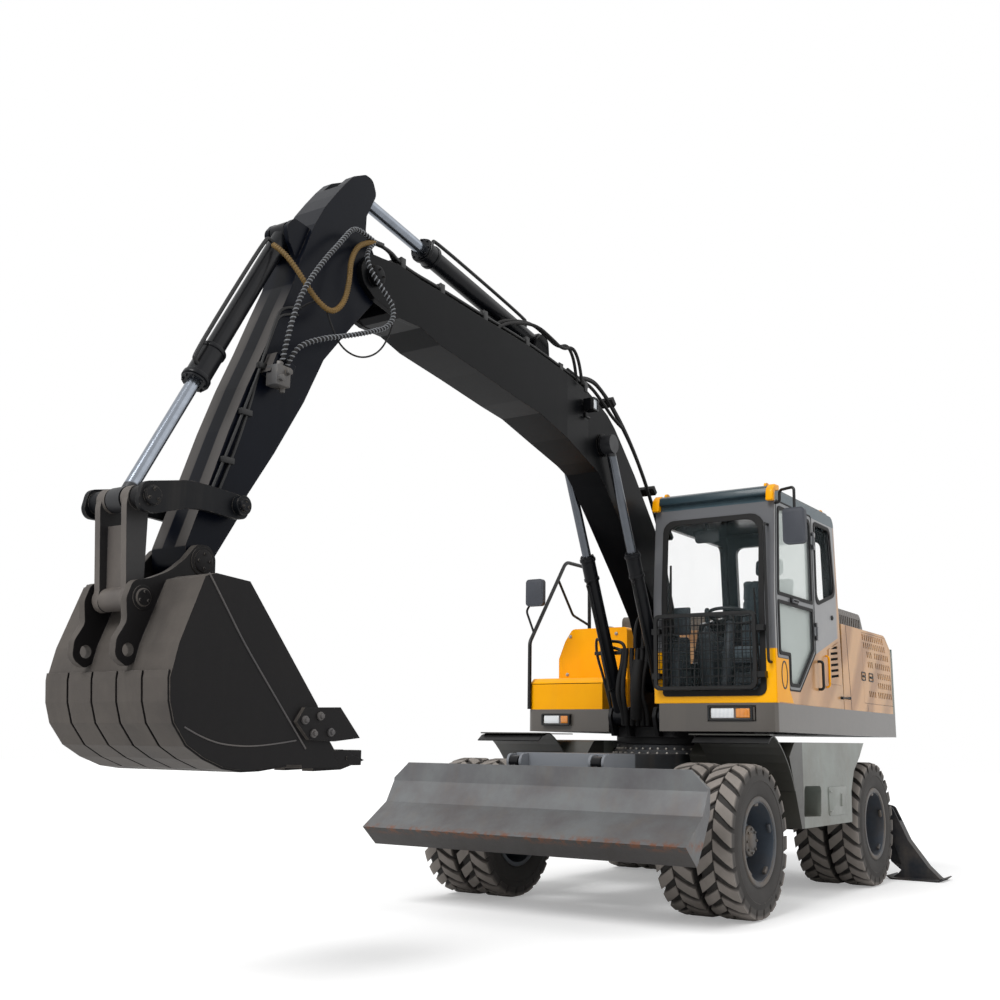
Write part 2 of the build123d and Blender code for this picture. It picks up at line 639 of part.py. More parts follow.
def cab():
    hull = slab(CAB_SIDE, CAB_RIGHT, SIDE_L)
    room = [(CAB_FRONT - WALL, SKIRT_TOP + 40), (CAB_FRONT - WALL, 2245), (838, ROOF_Z - 90, 40),
            (-425, ROOF_Z - 90, 40), (-508, SKIRT_TOP + 40)]
    hull = less(hull, slab(room, CAB_RIGHT + WALL, SIDE_L - WALL))
    door_gap = slab(grown(DOOR_OUT, 8), SIDE_L - 60, SIDE_L + 20)
    front_gap = slab(FRONT_WINDOW, 700, 1100, "yz")
    rear_gap = slab(REAR_WINDOW, -700, -380, "yz")
    right_gap = slab([(800, 1800, 60), (770, 2860, 60), (-360, 2860, 60), (-400, 2250, 60),
                      (100, 2150, 40), (250, 1800, 60)], CAB_RIGHT - 20, CAB_RIGHT + 60)
    left_gap = slab(SIDE_WINDOW, SIDE_L - 60, SIDE_L + 20)
    hull = less(hull, door_gap, front_gap, rear_gap, right_gap, left_gap)
    eyes = []
    for x, y in ((820, CAB_RIGHT + 70), (820, SIDE_L - 80), (-400, CAB_RIGHT + 70),
                 (-400, SIDE_L - 80)):
        eye = slab([(x - 30, ROOF_Z - 40), (x - 30, ROOF_Z + 55, 28), (x + 30, ROOF_Z + 55, 28),
                    (x + 30, ROOF_Z - 40)], y - 6, y + 6)
        eyes.append(less(eye, cross((x, ROOF_Z + 26), 14, y - 20, y + 20)))
    hinges = []
    for z in DOOR_HINGES:
        hinges.append(upright(z - 34, z - RUN, 9))
        hinges.append(upright(z + 70 + RUN, z + 104, 9))
        hinges.append(upright(z - 34, z + 104, DOOR_PIN_R))
        for low, high in ((z - 34, z - RUN), (z + 70 + RUN, z + 104)):
            hinges.append(block((30, DOOR_HINGE[0] - 4), (SIDE_L - 4, SIDE_L + 14), (low, high)))
    return joined(hull, eyes, hinges)


DOOR_HINGES = (2010.0, 2740.0)


def upright(low, high, radius):
    return bar((*DOOR_HINGE, low), (*DOOR_HINGE, high), radius)


def cab_door():
    leaf = slab(DOOR_OUT, SIDE_L - 44, SIDE_L)
    upper = slab(DOOR_UPPER, SIDE_L - 60, SIDE_L + 20)
    lower = slab(DOOR_LOWER, SIDE_L - 60, SIDE_L + 20)
    handle = block((480, 600), (SIDE_L, SIDE_L + 22), (2224, 2250))
    hinges = [upright(z, z + 70, 9) for z in DOOR_HINGES]
    straps = [block((DOOR_HINGE[0] + 4, 130), (SIDE_L - 2, SIDE_L + 14), (z, z + 70))
              for z in DOOR_HINGES]
    bores = [upright(z - 1, z + 71, DOOR_PIN_R + RUN) for z in DOOR_HINGES]
    return less(joined(less(leaf, upper, lower), handle, straps, hinges), bores)


def cab_back(z):
    """X of the cab's leaning back wall at a height."""
    low, high = CAB_SIDE[-1], CAB_SIDE[-2]
    return low[0] + (high[0] - low[0]) * (z - low[1]) / (high[1] - low[1])


def cab_glass():
    pane = [(CAB_FRONT - 25, 1527), (CAB_FRONT - 25, 2242), (875, 2863), (869, 2863),
            (CAB_FRONT - 31, 2242), (CAB_FRONT - 31, 1527)]
    front = slab(pane, FRONT_RIGHT, FRONT_LEFT).intersect(slab(FRONT_WINDOW, 700, 1100, "yz"))
    rear = slab([(cab_back(2200) + 14, 2200), (cab_back(2900) + 14, 2900),
                 (cab_back(2900) + 20, 2900), (cab_back(2200) + 20, 2200)],
                CAB_RIGHT + 38, SIDE_L - 46)
    rear = rear.intersect(slab(REAR_WINDOW, -700, -380, "yz"))
    right = slab([(800, 1800, 60), (770, 2860, 60), (-360, 2860, 60), (-400, 2250, 60),
                  (100, 2150, 40), (250, 1800, 60)], CAB_RIGHT + 18, CAB_RIGHT + 24)
    left = slab(SIDE_WINDOW, SIDE_L - 24, SIDE_L - 18)
    return [front, rear, right, left]


def door_glass():
    upper = slab(DOOR_UPPER, SIDE_L - 26, SIDE_L - 20)
    lower = slab(DOOR_LOWER, SIDE_L - 26, SIDE_L - 20)
    return [upper, lower]


CONSOLE_HALF = 65.0
SEAT_RUN = 15.0


def cab_interior():
    floor = SKIRT_TOP + 40
    y_left, y_right = SIDE_L - 176, CAB_RIGHT + 148
    y, half = (y_left + y_right) / 2, (y_left - y_right) / 2 - CONSOLE_HALF - SEAT_RUN
    stand_up = block((-180, 180), (y - half + 70, y + half - 70), (floor, floor + 320))
    cushion = block((-230, 270), (y - half, y + half), (floor + 320, floor + 450))
    back = slab([(-230, floor + 450), (-100, floor + 450), (-200, floor + 1060, 40),
                 (-330, floor + 1060, 40)], y - half + 10, y + half - 10)
    head = slab([(-340, floor + 1060), (-230, floor + 1060), (-255, floor + 1230, 40),
                 (-345, floor + 1230, 40)], y - half + 120, y + half - 120)
    seat = joined(stand_up, cushion, back, head)
    boxes = [block((-220, 330), (at - CONSOLE_HALF, at + CONSOLE_HALF), (floor, floor + 560))
             for at in (y_left, y_right)]
    sticks = [bar((260, at, floor + 550), (290, at, floor + 760), 20) for at in (y_left, y_right)]
    column = joined(bar((715, y, floor + 20), (560, y, floor + 620), 50),
                    block((640, 800), (y - 90, y + 90), (floor, floor + 60)))
    wheel = Solid.make_torus(180, 16, Plane(origin=(552, y, floor + 650),
                                            z_dir=Vector(-160, 0, 620).normalized()))
    spoke = bar((556, y - 175, floor + 648), (556, y + 175, floor + 648), 12)
    column = joined(column, wheel, spoke, bar((560, y, floor + 610), (551, y, floor + 652), 30))
    shelf = joined(block((600, 860), (CAB_RIGHT + WALL, 430), (floor, floor + 500)),
                   block((700, 740), (330, 470), (floor + 490, floor + 720)))
    return [seat] + [joined(a, b) for a, b in zip(boxes, sticks)] + [column, shelf]


MIRROR_RIGHT = [(-1245, 2345, 30), (-1078, 2345, 30), (-1078, 2572, 30), (-1245, 2572, 30)]
MIRROR_LEFT = [(SIDE_L + 98, 2614, 34), (SIDE_L + 256, 2614, 34), (SIDE_L + 256, 2873, 34),
               (SIDE_L + 98, 2873, 34)]


def cab_front(z):
    """X of the cab's front wall, which leans back above the sill."""
    low, high = CAB_SIDE[1], CAB_SIDE[2]
    return low[0] + (high[0] - low[0]) * (z - low[1]) / (high[1] - low[1])


def rails():
    """Front guard mesh, the right handrail and both mirrors."""
    x = CAB_FRONT + 42
    frame = less(slab([(290, 1555, 40), (SIDE_L - 126, 1555, 60), (SIDE_L - 126, 2130, 40), (290, 2130, 40)],
                      x, x + 22, "yz"),
                 slab([(318, 1583, 25), (SIDE_L - 154, 1583, 45), (SIDE_L - 154, 2102, 25), (318, 2102, 25)],
                      x - 10, x + 40, "yz"))
    tabs = []
    for y0, y1 in ((CAB_RIGHT + 8, 330), (SIDE_L - 166, SIDE_L - 66)):
        for z in (1640, 1980):
            tabs.append(block((CAB_FRONT, x + 15), (y0, y1), (z, z + 45)))
    wires = [block((x + 2, x + 9), (310, SIDE_L - 146), (z - 3, z + 3)) for z in range(1650, 2090, 65)]
    posts = [block((x + 9, x + 16), (y - 3, y + 3), (1575, 2110)) for y in range(370, int(SIDE_L - 166), 64)]
    guard = joined(frame, tabs, wires, posts)
    y = -1196
    rail = pipe([(456, y, 1440), (456, y, 2020, 90), (-160, y, 2815, 120), (-600, y, 2815, 90),
                 (-600, y, HOUSE_TOP)], 17)
    brace = pipe([(-20, y, 2635), (-290, y, 2330, 80), (-600, y, 2262)], 12)
    stalk = pipe([(392, y, 2108), (420, y - 62, 2300, 50), (420, y + 30, 2440)], 10)
    mirror_r = slab(MIRROR_RIGHT, 402, 440, "yz")
    clips = [block((436, 456), (y - 12, y + 12), (z, z + 30)) for z in (1470, 1620)]
    right = joined(rail, brace, stalk, mirror_r, clips)
    arm = pipe([(868, SIDE_L, 2950), (868, SIDE_L + 38, 2950, 22), (880, SIDE_L + 44, 3040, 30),
                (940, SIDE_L + 178, 3040, 30), (946, SIDE_L + 178, 2840)], 11)
    mirror_l = slab(MIRROR_LEFT, 928, 966, "yz")
    left = joined(arm, mirror_l)
    handle = pipe([(44, SIDE_L, 1812), (44, SIDE_L + 40, 1812, 22), (44, SIDE_L + 40, 1595, 22),
                   (44, SIDE_L, 1595)], 11)
    front = pipe([(cab_front(2780) - 5, SIDE_L - 48, 2780), (985, SIDE_L - 48, 2780, 28),
                  (1006, SIDE_L - 36, 1752, 28), (CAB_FRONT, SIDE_L - 36, 1752)], 11)
    behind = [(cab_front(2700), 2700), (cab_front(2860), 2860), (800, 2860), (800, 2700)]
    front = less(front, slab(behind, SIDE_L - 96, SIDE_L + 4))
    return [guard, right, left, handle, front]


def engine_cover():
    """Sheet cover behind the cab, open below."""
    side = [(COVER_FRONT, SKIRT_TOP), (COVER_FRONT, HOUSE_TOP), (-1800, HOUSE_TOP, 160), (TAIL_X, 2000, 160),
            (TAIL_X, SKIRT_TOP)]
    shell = slab(side, SIDE_R, SIDE_L)
    shell = less(shell, slab([(-590, SKIRT_TOP - 20), (-590, HOUSE_TOP - 22),
                              (-1790, HOUSE_TOP - 22, 140), (TAIL_X + 22, 1985, 140),
                              (TAIL_X + 22, SKIRT_TOP - 20)], SIDE_R + 22, SIDE_L - 22))
    lid_hole = block((-1800, -1000), (-930, 930), (HOUSE_TOP - 60, HOUSE_TOP + 40))
    pocket = slab(VENT_DOOR, SIDE_L - VENT_THICK, SIDE_L + 20)
    opening = slab(grown(VENT_DOOR, 28), SIDE_L - 60, SIDE_L + 20)
    knuckles = []
    for y in LID_HINGES:
        for low, high in ((y - 75, y - 25 - RUN), (y + 25 + RUN, y + 75)):
            knuckles.append(cross(LID_HINGE, 12, low, high))
            knuckles.append(block((LID_HINGE[0] - 2, LID_HINGE[0] + 24), (low, high),
                                  (HOUSE_TOP - 5, HOUSE_TOP + 12)))
        knuckles.append(cross(LID_HINGE, LID_PIN_R, y - 75, y + 75))
    cover = joined(less(shell, lid_hole, pocket, opening), knuckles)
    return [cover, vent_door(), louvre()]


LID_HINGES = (-700.0, 700.0)

# Slotted door in the left side, and its rows of slots: first X, last X, Z, how many
VENT_THICK = 10.0
VENT_DOOR = [(-1120, 1530), (-1990, 1530), (-1990, 1985), (-1815, 2146), (-1120, 2146)]
VENT_ROWS = [(-1165, -1745, 2105, 11), (-1190, -1800, 2035, 11), (-1280, -1390, 1958, 3),
             (-1500, -1890, 1958, 8), (-1300, -1410, 1872, 3), (-1520, -1930, 1872, 8),
             (-1580, -1940, 1785, 7), (-1580, -1940, 1700, 7), (-1310, -1470, 1615, 4),
             (-1570, -1950, 1615, 8)]
LOUVRE = [(-204, 1652, 15), (-512, 1652, 15), (-478, 2006, 15), (-204, 1925, 15)]


def slot(x, z, wide, tall, lean, low, high):
    return slab([(x, z - tall / 2), (x + wide, z - tall / 2), (x + wide + lean, z + tall / 2),
                 (x + lean, z + tall / 2)], low, high)


def vent_door():
    """The slotted door, which lies in a step of the cover's left side."""
    door = slab(grown(VENT_DOOR, 3), SIDE_L - VENT_THICK, SIDE_L)
    slots = []
    for first, last, z, count in VENT_ROWS:
        for i in range(count):
            x = first + (last - first) * i / (count - 1)
            slots.append(slot(x, z, 25, 52, 14, SIDE_L - 40, SIDE_L + 20))
    return door.cut(*slots)


def louvre():
    """The small slotted panel behind the door."""
    panel = slab(LOUVRE, SIDE_L, SIDE_L + 7)
    slots = []
    for i in range(6):
        z = 1700 + i * 46
        slots.append(slab([(-250, z), (-250, z + 20), (-440 + i * 3, z + 38), (-440 + i * 3, z + 18)],
                          SIDE_L - 10, SIDE_L + 20))
    return panel.cut(*slots)


def hood_lid():
    """The raised lid over the engine, with its louvred sides."""
    z0 = HOUSE_TOP + 8
    side = [(-950, z0), (-950, 2372, 60), (-1790, 2372, 90), (-1870, 2240, 60), (-1870, z0)]
    shell = slab(side, -1030, 1030)
    inner = slab([(-968, z0 - 10), (-968, 2354, 45), (-1780, 2354, 75), (-1852, 2232, 50),
                  (-1852, z0 - 10)], -1012, 1012)
    shell = less(shell, inner)
    slots = []
    for i in range(14):
        x = -1050 - i * 54
        slots.append(block((x - 26, x), (1000, 1050), (2240, 2320)))
    straps = [joined(cross(LID_HINGE, 12, y - 25, y + 25),
                     block((-955, LID_HINGE[0]), (y - 25, y + 25), (z0 + 6, z0 + 19)))
              for y in LID_HINGES]
    bores = [cross(LID_HINGE, LID_PIN_R + RUN, y - 30, y + 30) for y in LID_HINGES]
    return less(joined(less(shell, slots), straps), bores)


def counterweight():
    plan = [(TAIL_X, SIDE_L - 5), (TAIL_X - 60, SIDE_L - 10, 60), (REAR + 60, 900, 260),
            (REAR, 300), (REAR, -300), (REAR + 60, -900, 260), (TAIL_X - 60, SIDE_R + 10, 60),
            (TAIL_X, SIDE_R + 5)]
    mass = slab(plan, DECK_Z - 4, 2060, "xy")
    top_cut = slab([(TAIL_X - 40, 2100), (TAIL_X - 40, 2060), (REAR + 120, 1960), (REAR - 40, 1560),
                    (REAR - 80, 2100)], -1400, 1400)
    foot_cut = slab([(REAR - 20, 1240), (REAR + 60, 1240), (REAR - 20, 1330)], -1400, 1400)
    return less(mass, top_cut, foot_cut)


def right_tank():
    """Front tool box and the taller tank behind it."""
    low = slab([(436, TANK_Z), (436, 1660, 40), (380, 1705, 40), (-20, 1705), (-20, TANK_Z)],
               -1198, -482)
    tall = slab([(-1172, TANK_Z), (-1172, 1900), (-1105, 2060, 60), (-1030, 2166, 60),
                 (-474, 2166, 30), (-474, TANK_Z)], COVER_FRONT, 0, "yz")
    return joined(low, tall)


# Boom, arm and bucket
def boom():
    low = [(1755, 3220), (1617, 3172), (1508, 3085), (1302, 2886), (882, 2468), (594, 2155),
           (470, 1900), (312, 1640, 60), (235, 1572, 60), (160, 1590, 70), (105, 1700, 60),
           (118, 1790), (500, 2700), (1000, 3250), (1250, 3490), (1342, 3574), (1455, 3652),
           (1614, 3717), (1755, 3762)]
    lower = slab(low, -BOOM_HALF_LOW, BOOM_HALF_LOW)
    z = lambda x, y, lo, hi: Wire([
        Edge.make_line((x, -y, lo), (x, y, lo)), Edge.make_line((x, y, lo), (x, y, hi)),
        Edge.make_line((x, y, hi), (x, -y, hi)), Edge.make_line((x, -y, hi), (x, -y, lo))])
    taper = Solid.make_loft([z(1755, BOOM_HALF_LOW, 3220, 3762), z(2100, BOOM_HALF, 3322, 3806)],
                            ruled=True)
    up = [(2100, 3322), (2478, 3416), (2736, 3445), (3218, 3512), (3656, 3567), (3852, 3620),
          (4056, 3620), (4110, 3640), (4110, 3700), (3980, 3760), (3930, 3860), (3930, 3924),
          (3670, 3919), (3230, 3894), (2642, 3869), (2348, 3838), (2100, 3806)]
    upper = slab(up, -BOOM_HALF, BOOM_HALF)
    fork = [(3852, 3620), (4056, 3616), (4290, 3662), (4400, 3730, 80), (4425, 3830, 80),
            (4330, 3925, 80), (4241, 3930), (4073, 3948), (3866, 3924), (3700, 3919)]
    forks = pair(fork, 125, BOOM_HALF)
    boss = crosses(BOOM_CYL_EYE, 88, BOOM_HALF_LOW - 4, BOOM_CYL_Y - 43 - RUN)
    caps = crosses(ARM_PIN, 62, BOOM_HALF - 4, 186)
    ear = [(2240, 3800), (2262, 4010, 60), (2330, 4078, 60), (2400, 4010, 60), (2500, 3850)]
    ears = pair(ear, 68, 94)
    lamp = joined(block((1778, 1856), (152, 226), (3590, 3682)), block((1798, 1834), (136, 160), (3600, 3640)))
    body = joined(lower, taper, upper, forks, boss, caps, ears, lamp)
    foot = cross(BOOM_PIN, 98, -147, 147)
    body = less(joined(body, foot), cross(BOOM_PIN, BOOM_PIN_R + RUN, -200, 200))
    return joined(body, cross(ARM_PIN, ARM_PIN_R, -170, 170), foot_pins("arm", 90, 90))


def arm():
    outline = [(4270, 4200), (4470, 4230), (4537, 4291), (4617, 4189), (4694, 4084), (4768, 3953),
               (4823, 3813), (4870, 3702), (4916, 3548), (4999, 3359), (5095, 3134), (5203, 2897),
               (5304, 2646), (5399, 2383), (5466, 2204), (5531, 2026, 40), (5520, 1900, 60),
               (5410, 1890, 60), (5342, 2005), (5208, 2214), (5157, 2339), (4990, 2586),
               (4792, 2910), (4652, 3190), (4434, 3450), (4230, 3680, 80), (4180, 3795, 80),
               (4230, 3900, 60), (4346, 4063, 40), (4343, 4165)]
    outline = [(4343, 4165), (4400, 4225), (4537, 4291)] + outline[3:-1]
    beam = slab(outline, -ARM_HALF, ARM_HALF)
    cheek = [(4346, 4063), (4343, 4165), (4262, 4330, 60), (4300, 4415, 50), (4365, 4420, 50),
             (4470, 4365, 30), (4537, 4291), (4617, 4189)]
    cheeks = pair(cheek, 56, ARM_HALF)
    ear = [(4780, 3925), (4850, 3935, 30), (4905, 3940, 50), (4958, 3870, 50), (4930, 3790, 40),
           (4865, 3700), (4800, 3800)]
    ears = pair(ear, 57, 86)
    valve = slab([(4935, 3062), (5075, 3100), (5118, 2988), (4975, 2945)], ARM_HALF - 4, 188)
    solid = joined(beam, cheeks, ears, valve)
    solid = less(solid, cross(ARM_PIN, ARM_PIN_R + RUN, -150, 150),
                 cross(ROCKER_PIN, ROCKER_PIN_R + RUN, -150, 150))
    return joined(solid, cross(BUCKET_PIN, BUCKET_PIN_R, -EAR_OUT - 5, EAR_OUT + 5), foot_pins("bucket", 82, 82))


def bucket():
    half = BUCKET_HALF
    back = [(4770, 1022), (5096, 1026), (5273, 1006), (5382, 1003), (5495, 1017), (5612, 1059),
            (5710, 1112), (5788, 1205), (5818, 1294), (5827, 1392), (5790, 1544), (5700, 1766),
            (5668, 1845), (5607, 1866), (5398, 1853)]
    shell = slab(band(back, -16), -half, half)
    side = back + [(4908, 1306), (4835, 1165), (4770, 1092)]
    sides = pair(side, half - 20, half)
    cutter = [(4611, 1155), (4765, 1302), (5017, 1293), (5070, 1224), (4980, 1143), (4802, 1136)]
    cutters = pair(cutter, half - 1, half + 22)
    lip = slab([(4745, 1010), (4745, 1046), (5000, 1050), (5000, 1008)], -half, half)
    teeth = []
    for y in (-370, -185, 0, 185, 370):
        tooth = [(4900, 1080), (4900, 994), (4700, 1000), (4525, 1046), (4690, 1098)]
        teeth.append(slab(tooth, y - 36, y + 36))
    ear = [(5376, 1850), (5382, 1985, 60), (5425, 2036, 50), (5500, 2034, 50), (5562, 1959),
           (5650, 1887, 260), (5760, 1841, 60), (5850, 1822, 50), (5880, 1740, 60), (5866, 1640, 60),
           (5915, 1560, 60), (5918, 1480, 50), (5850, 1440, 30), (5800, 1470), (5690, 1760),
           (5600, 1855)]
    ears = pair(ear, EAR_IN, EAR_OUT)
    wear = []
    strip = 2 * half / WEAR_PLATES
    for i in range(WEAR_PLATES):
        start = -half + i * strip
        worn = band(back[1:10] + [(5824, 1425)], WEAR_THICK)
        wear.append(slab(worn, start + WEAR_GAP, start + strip - WEAR_GAP))
    caps = crosses(LINK_PIN, 55, EAR_OUT - 2, EAR_OUT + 5)
    bosses = crosses(BUCKET_PIN, 70, EAR_OUT - 2, EAR_OUT + 5)
    solid = joined(shell, sides, cutters, lip, teeth, ears, wear, caps, bosses)
    holes = [cross(BUCKET_PIN, BUCKET_PIN_R + RUN, -200, 200)]
    holes += crosses((5850, 1515), 30, 100, 190)
    return less(solid, holes)


def rocker():
    """Two side levers on the arm, joined by their pins."""
    a, b = ROCKER_PIN, ROD_PIN
    mid = ((a[0] + b[0]) / 2, (a[1] + b[1]) / 2)
    lever = [(b[0] + 74, b[1] - 40, 50), (b[0] + 52, b[1] + 58, 50), (mid[0] + 40, mid[1] + 92, 500),
             (a[0] + 30, a[1] + 56, 80), (a[0] - 62, a[1] + 42, 45), (a[0] - 60, a[1] - 58, 45),
             (a[0] + 20, a[1] - 68, 50), (mid[0] + 10, mid[1] - 32, 500), (b[0] - 34, b[1] - 76, 50),
             (b[0] + 44, b[1] - 76, 45)]
    levers = pair(lever, LEVER_IN, LEVER_OUT)
    pin = cross(a, ROCKER_PIN_R, -LEVER_OUT - 38, LEVER_OUT + 38)
    stubs = crosses(b, ROCKER_PIN_R, 52, LEVER_OUT + 6)
    collars = crosses(a, 54, ARM_HALF + 6, LEVER_IN + 2) + crosses(b, 54, 118, LEVER_IN + 2)
    heads = crosses(a, 48, LEVER_OUT - 2, LEVER_OUT + 34) + crosses(b, 46, LEVER_OUT - 2, LEVER_OUT + 14)
    return joined(levers[0], levers[1], pin, stubs, collars, heads)


def bucket_link():
    b, c = ROD_PIN, LINK_PIN
    plate = [(b[0] - 60, b[1] + 20, 50), (b[0] - 20, b[1] + 62, 50), (b[0] + 50, b[1] + 50, 50),
             (b[0] + 62, b[1] - 40, 50), (c[0] + 50, c[1] + 40), (c[0] + 58, c[1] - 40, 45),
             (c[0], c[1] - 62, 45), (c[0] - 58, c[1] - 30, 45), (c[0] - 45, c[1] + 60)]
    plates = pair(plate, 74, 110)
    web = slab([(b[0] - 20, b[1] - 120), (b[0] + 10, b[1] - 120), (c[0] + 10, c[1] + 20),
                (c[0] - 20, c[1] + 20)], -80, 80)
    eye = joined(cross(c, 54, -117, 117), cross(c, 34, -EAR_IN + RUN, EAR_IN - RUN))
    hubs = crosses(b, 58, 56, 112)
    solid = joined(plates[0], plates[1], web, eye, hubs)
    return less(solid, cross(b, ROCKER_PIN_R + RUN, -150, 150))


def both(solids):
    return solids if isinstance(solids, list) else [solids]


NODES = {
    "chassis": chassis,
    "side_boxes": side_boxes,
    "axles": axles,
    "left_knuckle": knuckle,
    "right_knuckle": lambda: mirrored(knuckle()),
    "front_left_tyres": lambda: tyres(FRONT_X),
    "front_right_tyres": lambda: [mirrored(t) for t in tyres(FRONT_X)],
    "rear_left_tyres": lambda: tyres(REAR_X),
    "rear_right_tyres": lambda: [mirrored(t) for t in tyres(REAR_X)],
    "front_left_rims": lambda: rims(FRONT_X, 1130),
    "front_right_rims": lambda: mirrored(rims(FRONT_X, 1130)),
    "rear_left_rims": lambda: rims(REAR_X, 1060),
    "rear_right_rims": lambda: mirrored(rims(REAR_X, 1060)),
    "blade": blade,
    "blade_barrels": lambda: barrels("blade"),
    "blade_rods": lambda: rods("blade"),
    "left_stand": stand,
    "right_stand": lambda: mirrored(stand()),
    "left_stand_barrel": stand_barrel,
    "right_stand_barrel": lambda: mirrored(stand_barrel()),
    "left_stand_rod": stand_rod,
    "right_stand_rod": lambda: mirrored(stand_rod()),
    "upper_frame": upper_frame,
    "skirt": skirt,
    "cab": cab,
    "cab_door": cab_door,
    "cab_glass": cab_glass,
    "door_glass": door_glass,
    "cab_interior": cab_interior,
    "rails": rails,
    "engine_cover": engine_cover,
    "hood_lid": hood_lid,
    "counterweight": counterweight,
    "right_tank": right_tank,
    "boom": boom,
    "boom_barrels": lambda: barrels("boom"),
    "boom_rods": lambda: rods("boom"),
    "arm": arm,
    "arm_barrel": lambda: barrels("arm"),
    "arm_rod": lambda: rods("arm"),
    "bucket": bucket,
    "bucket_barrel": lambda: barrels("bucket"),
    "bucket_rod": lambda: rods("bucket"),
    "rocker": rocker,
    "bucket_link": bucket_link,
}


def export_all():
    os.makedirs("parts", exist_ok=True)
    low = [1e9, 1e9, 1e9]
    high = [-1e9, -1e9, -1e9]
    for name, make in NODES.items():
        solids = []
        for item in both(make()):
            solids += list(item.solids())
        moved = [s.moved(Location((-SHIFT_X, 0, 0))) for s in solids]
        shape = moved[0] if len(moved) == 1 else Compound(moved)
        shape.label = name
        export_step(shape, "parts/" + name + ".step")
        box = shape.bounding_box()
        lows = (box.min.X, box.min.Y, box.min.Z)
        highs = (box.max.X, box.max.Y, box.max.Z)
        low = [min(a, b) for a, b in zip(low, lows)]
        high = [max(a, b) for a, b in zip(high, highs)]
        volume = sum(s.volume for s in moved) / 1e9
        print(f"{name:20s} solids {len(moved):2d} volume {volume:.4f} m3")
    print("low", [round(v, 2) for v in low], "high", [round(v, 2) for v in high])


if __name__ == "__main__":
    export_all()
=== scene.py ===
import bpy
import math
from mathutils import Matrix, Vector


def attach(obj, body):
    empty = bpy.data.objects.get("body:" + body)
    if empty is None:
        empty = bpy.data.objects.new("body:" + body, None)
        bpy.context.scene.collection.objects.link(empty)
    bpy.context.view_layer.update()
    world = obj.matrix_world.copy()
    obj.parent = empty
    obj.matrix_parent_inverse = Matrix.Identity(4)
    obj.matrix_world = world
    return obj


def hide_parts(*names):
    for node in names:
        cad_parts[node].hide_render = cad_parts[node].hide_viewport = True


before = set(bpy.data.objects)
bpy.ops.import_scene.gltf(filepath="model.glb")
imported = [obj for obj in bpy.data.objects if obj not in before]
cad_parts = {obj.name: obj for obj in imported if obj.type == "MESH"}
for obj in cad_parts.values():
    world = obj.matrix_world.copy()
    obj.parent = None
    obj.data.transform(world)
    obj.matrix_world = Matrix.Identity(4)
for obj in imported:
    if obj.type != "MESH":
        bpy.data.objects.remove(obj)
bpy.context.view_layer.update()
print("frame loaded")

# Metres. Places are written from the slewing axis, which stands here in the frame.
slewX = -1.808457


def spot(x, y, z):
    return Vector((x + slewX, y, z))


# Colours as they look on the real machine, two digits each for red, green and blue.
def tint(code, alpha=1.0):
    parts = [int(code[i:i + 2], 16) / 255 for i in (0, 2, 4)]
    return tuple(p / 12.92 if p < 0.04045 else ((p + 0.055) / 1.055) ** 2.4 for p in parts) + (alpha,)


# Camera, fitted to the photograph
camera = bpy.data.cameras.new("camera")
camera.sensor_fit = "AUTO"
camera.sensor_width = 36
camera.lens = 42.299
camera.clip_end = 200
viewer = bpy.data.objects.new("camera", camera)
viewer.location = (7.40803, 4.39147, 1.13220)
viewer.rotation_euler = [math.radians(a) for a in (101.764716, -0.823241, 123.912433)]
bpy.context.scene.collection.objects.link(viewer)
bpy.context.scene.camera = viewer
print("camera set")


# Selecting, joining and finishing

def clearSelection():
    active = bpy.context.view_layer.objects.active
    if active and active.mode != "OBJECT":
        bpy.ops.object.mode_set(mode="OBJECT")
    bpy.ops.object.select_all(action="DESELECT")


def pick(*pieces):
    clearSelection()
    for piece in pieces:
        piece.select_set(True)
    bpy.context.view_layer.objects.active = pieces[0]


def editing(piece, on=True):
    if on:
        pick(piece)
        bpy.ops.object.mode_set(mode="EDIT")
        bpy.ops.mesh.select_mode(type="VERT")
        bpy.ops.mesh.select_all(action="SELECT")
    else:
        bpy.ops.object.mode_set(mode="OBJECT")


def settle(piece):
    pick(piece)
    bpy.ops.object.transform_apply(location=True, rotation=True, scale=True)
    return piece


def chooseFaces(piece, test):
    bpy.ops.object.mode_set(mode="OBJECT")
    for face in piece.data.polygons:
        face.select = bool(test(face))
    for edge in piece.data.edges:
        edge.select = False
    for corner in piece.data.vertices:
        corner.select = False
    for face in piece.data.polygons:
        if face.select:
            for index in face.vertices:
                piece.data.vertices[index].select = True
    bpy.ops.object.mode_set(mode="EDIT")
    bpy.ops.mesh.select_mode(type="FACE")


def smoothed(piece, degrees=35):
    pick(piece)
    bpy.ops.object.shade_smooth_by_angle(angle=math.radians(degrees))
    return piece


def together(name, pieces):
    pick(*pieces)
    if len(pieces) > 1:
        bpy.ops.object.join()
    piece = bpy.context.view_layer.objects.active
    piece.name = name
    piece.data.name = name
    return settle(piece)


def twin(piece, move=(0, 0, 0), flipY=False):
    pick(piece)
    bpy.ops.object.duplicate(linked=False)
    copy = bpy.context.view_layer.objects.active
    editing(copy)
    if flipY:
        bpy.ops.transform.resize(value=(1, -1, 1), center_override=(0, 0, 0))
        bpy.ops.mesh.normals_make_consistent(inside=False)
    if any(move):
        bpy.ops.transform.translate(value=move)
    editing(copy, False)
    return copy


def dress(piece, body, material, replaced=(), smooth=35):
    if piece.type == "MESH":
        smoothed(piece, smooth)
    piece.data.materials.clear()
    piece.data.materials.append(material)
    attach(piece, body)
    if replaced:
        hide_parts(*replaced)
    return piece


def fit(name, parts, body, finish, smooth=35):
    return dress(together(name, parts), body, materials[finish], smooth=smooth)


# Shapes that start from a primitive

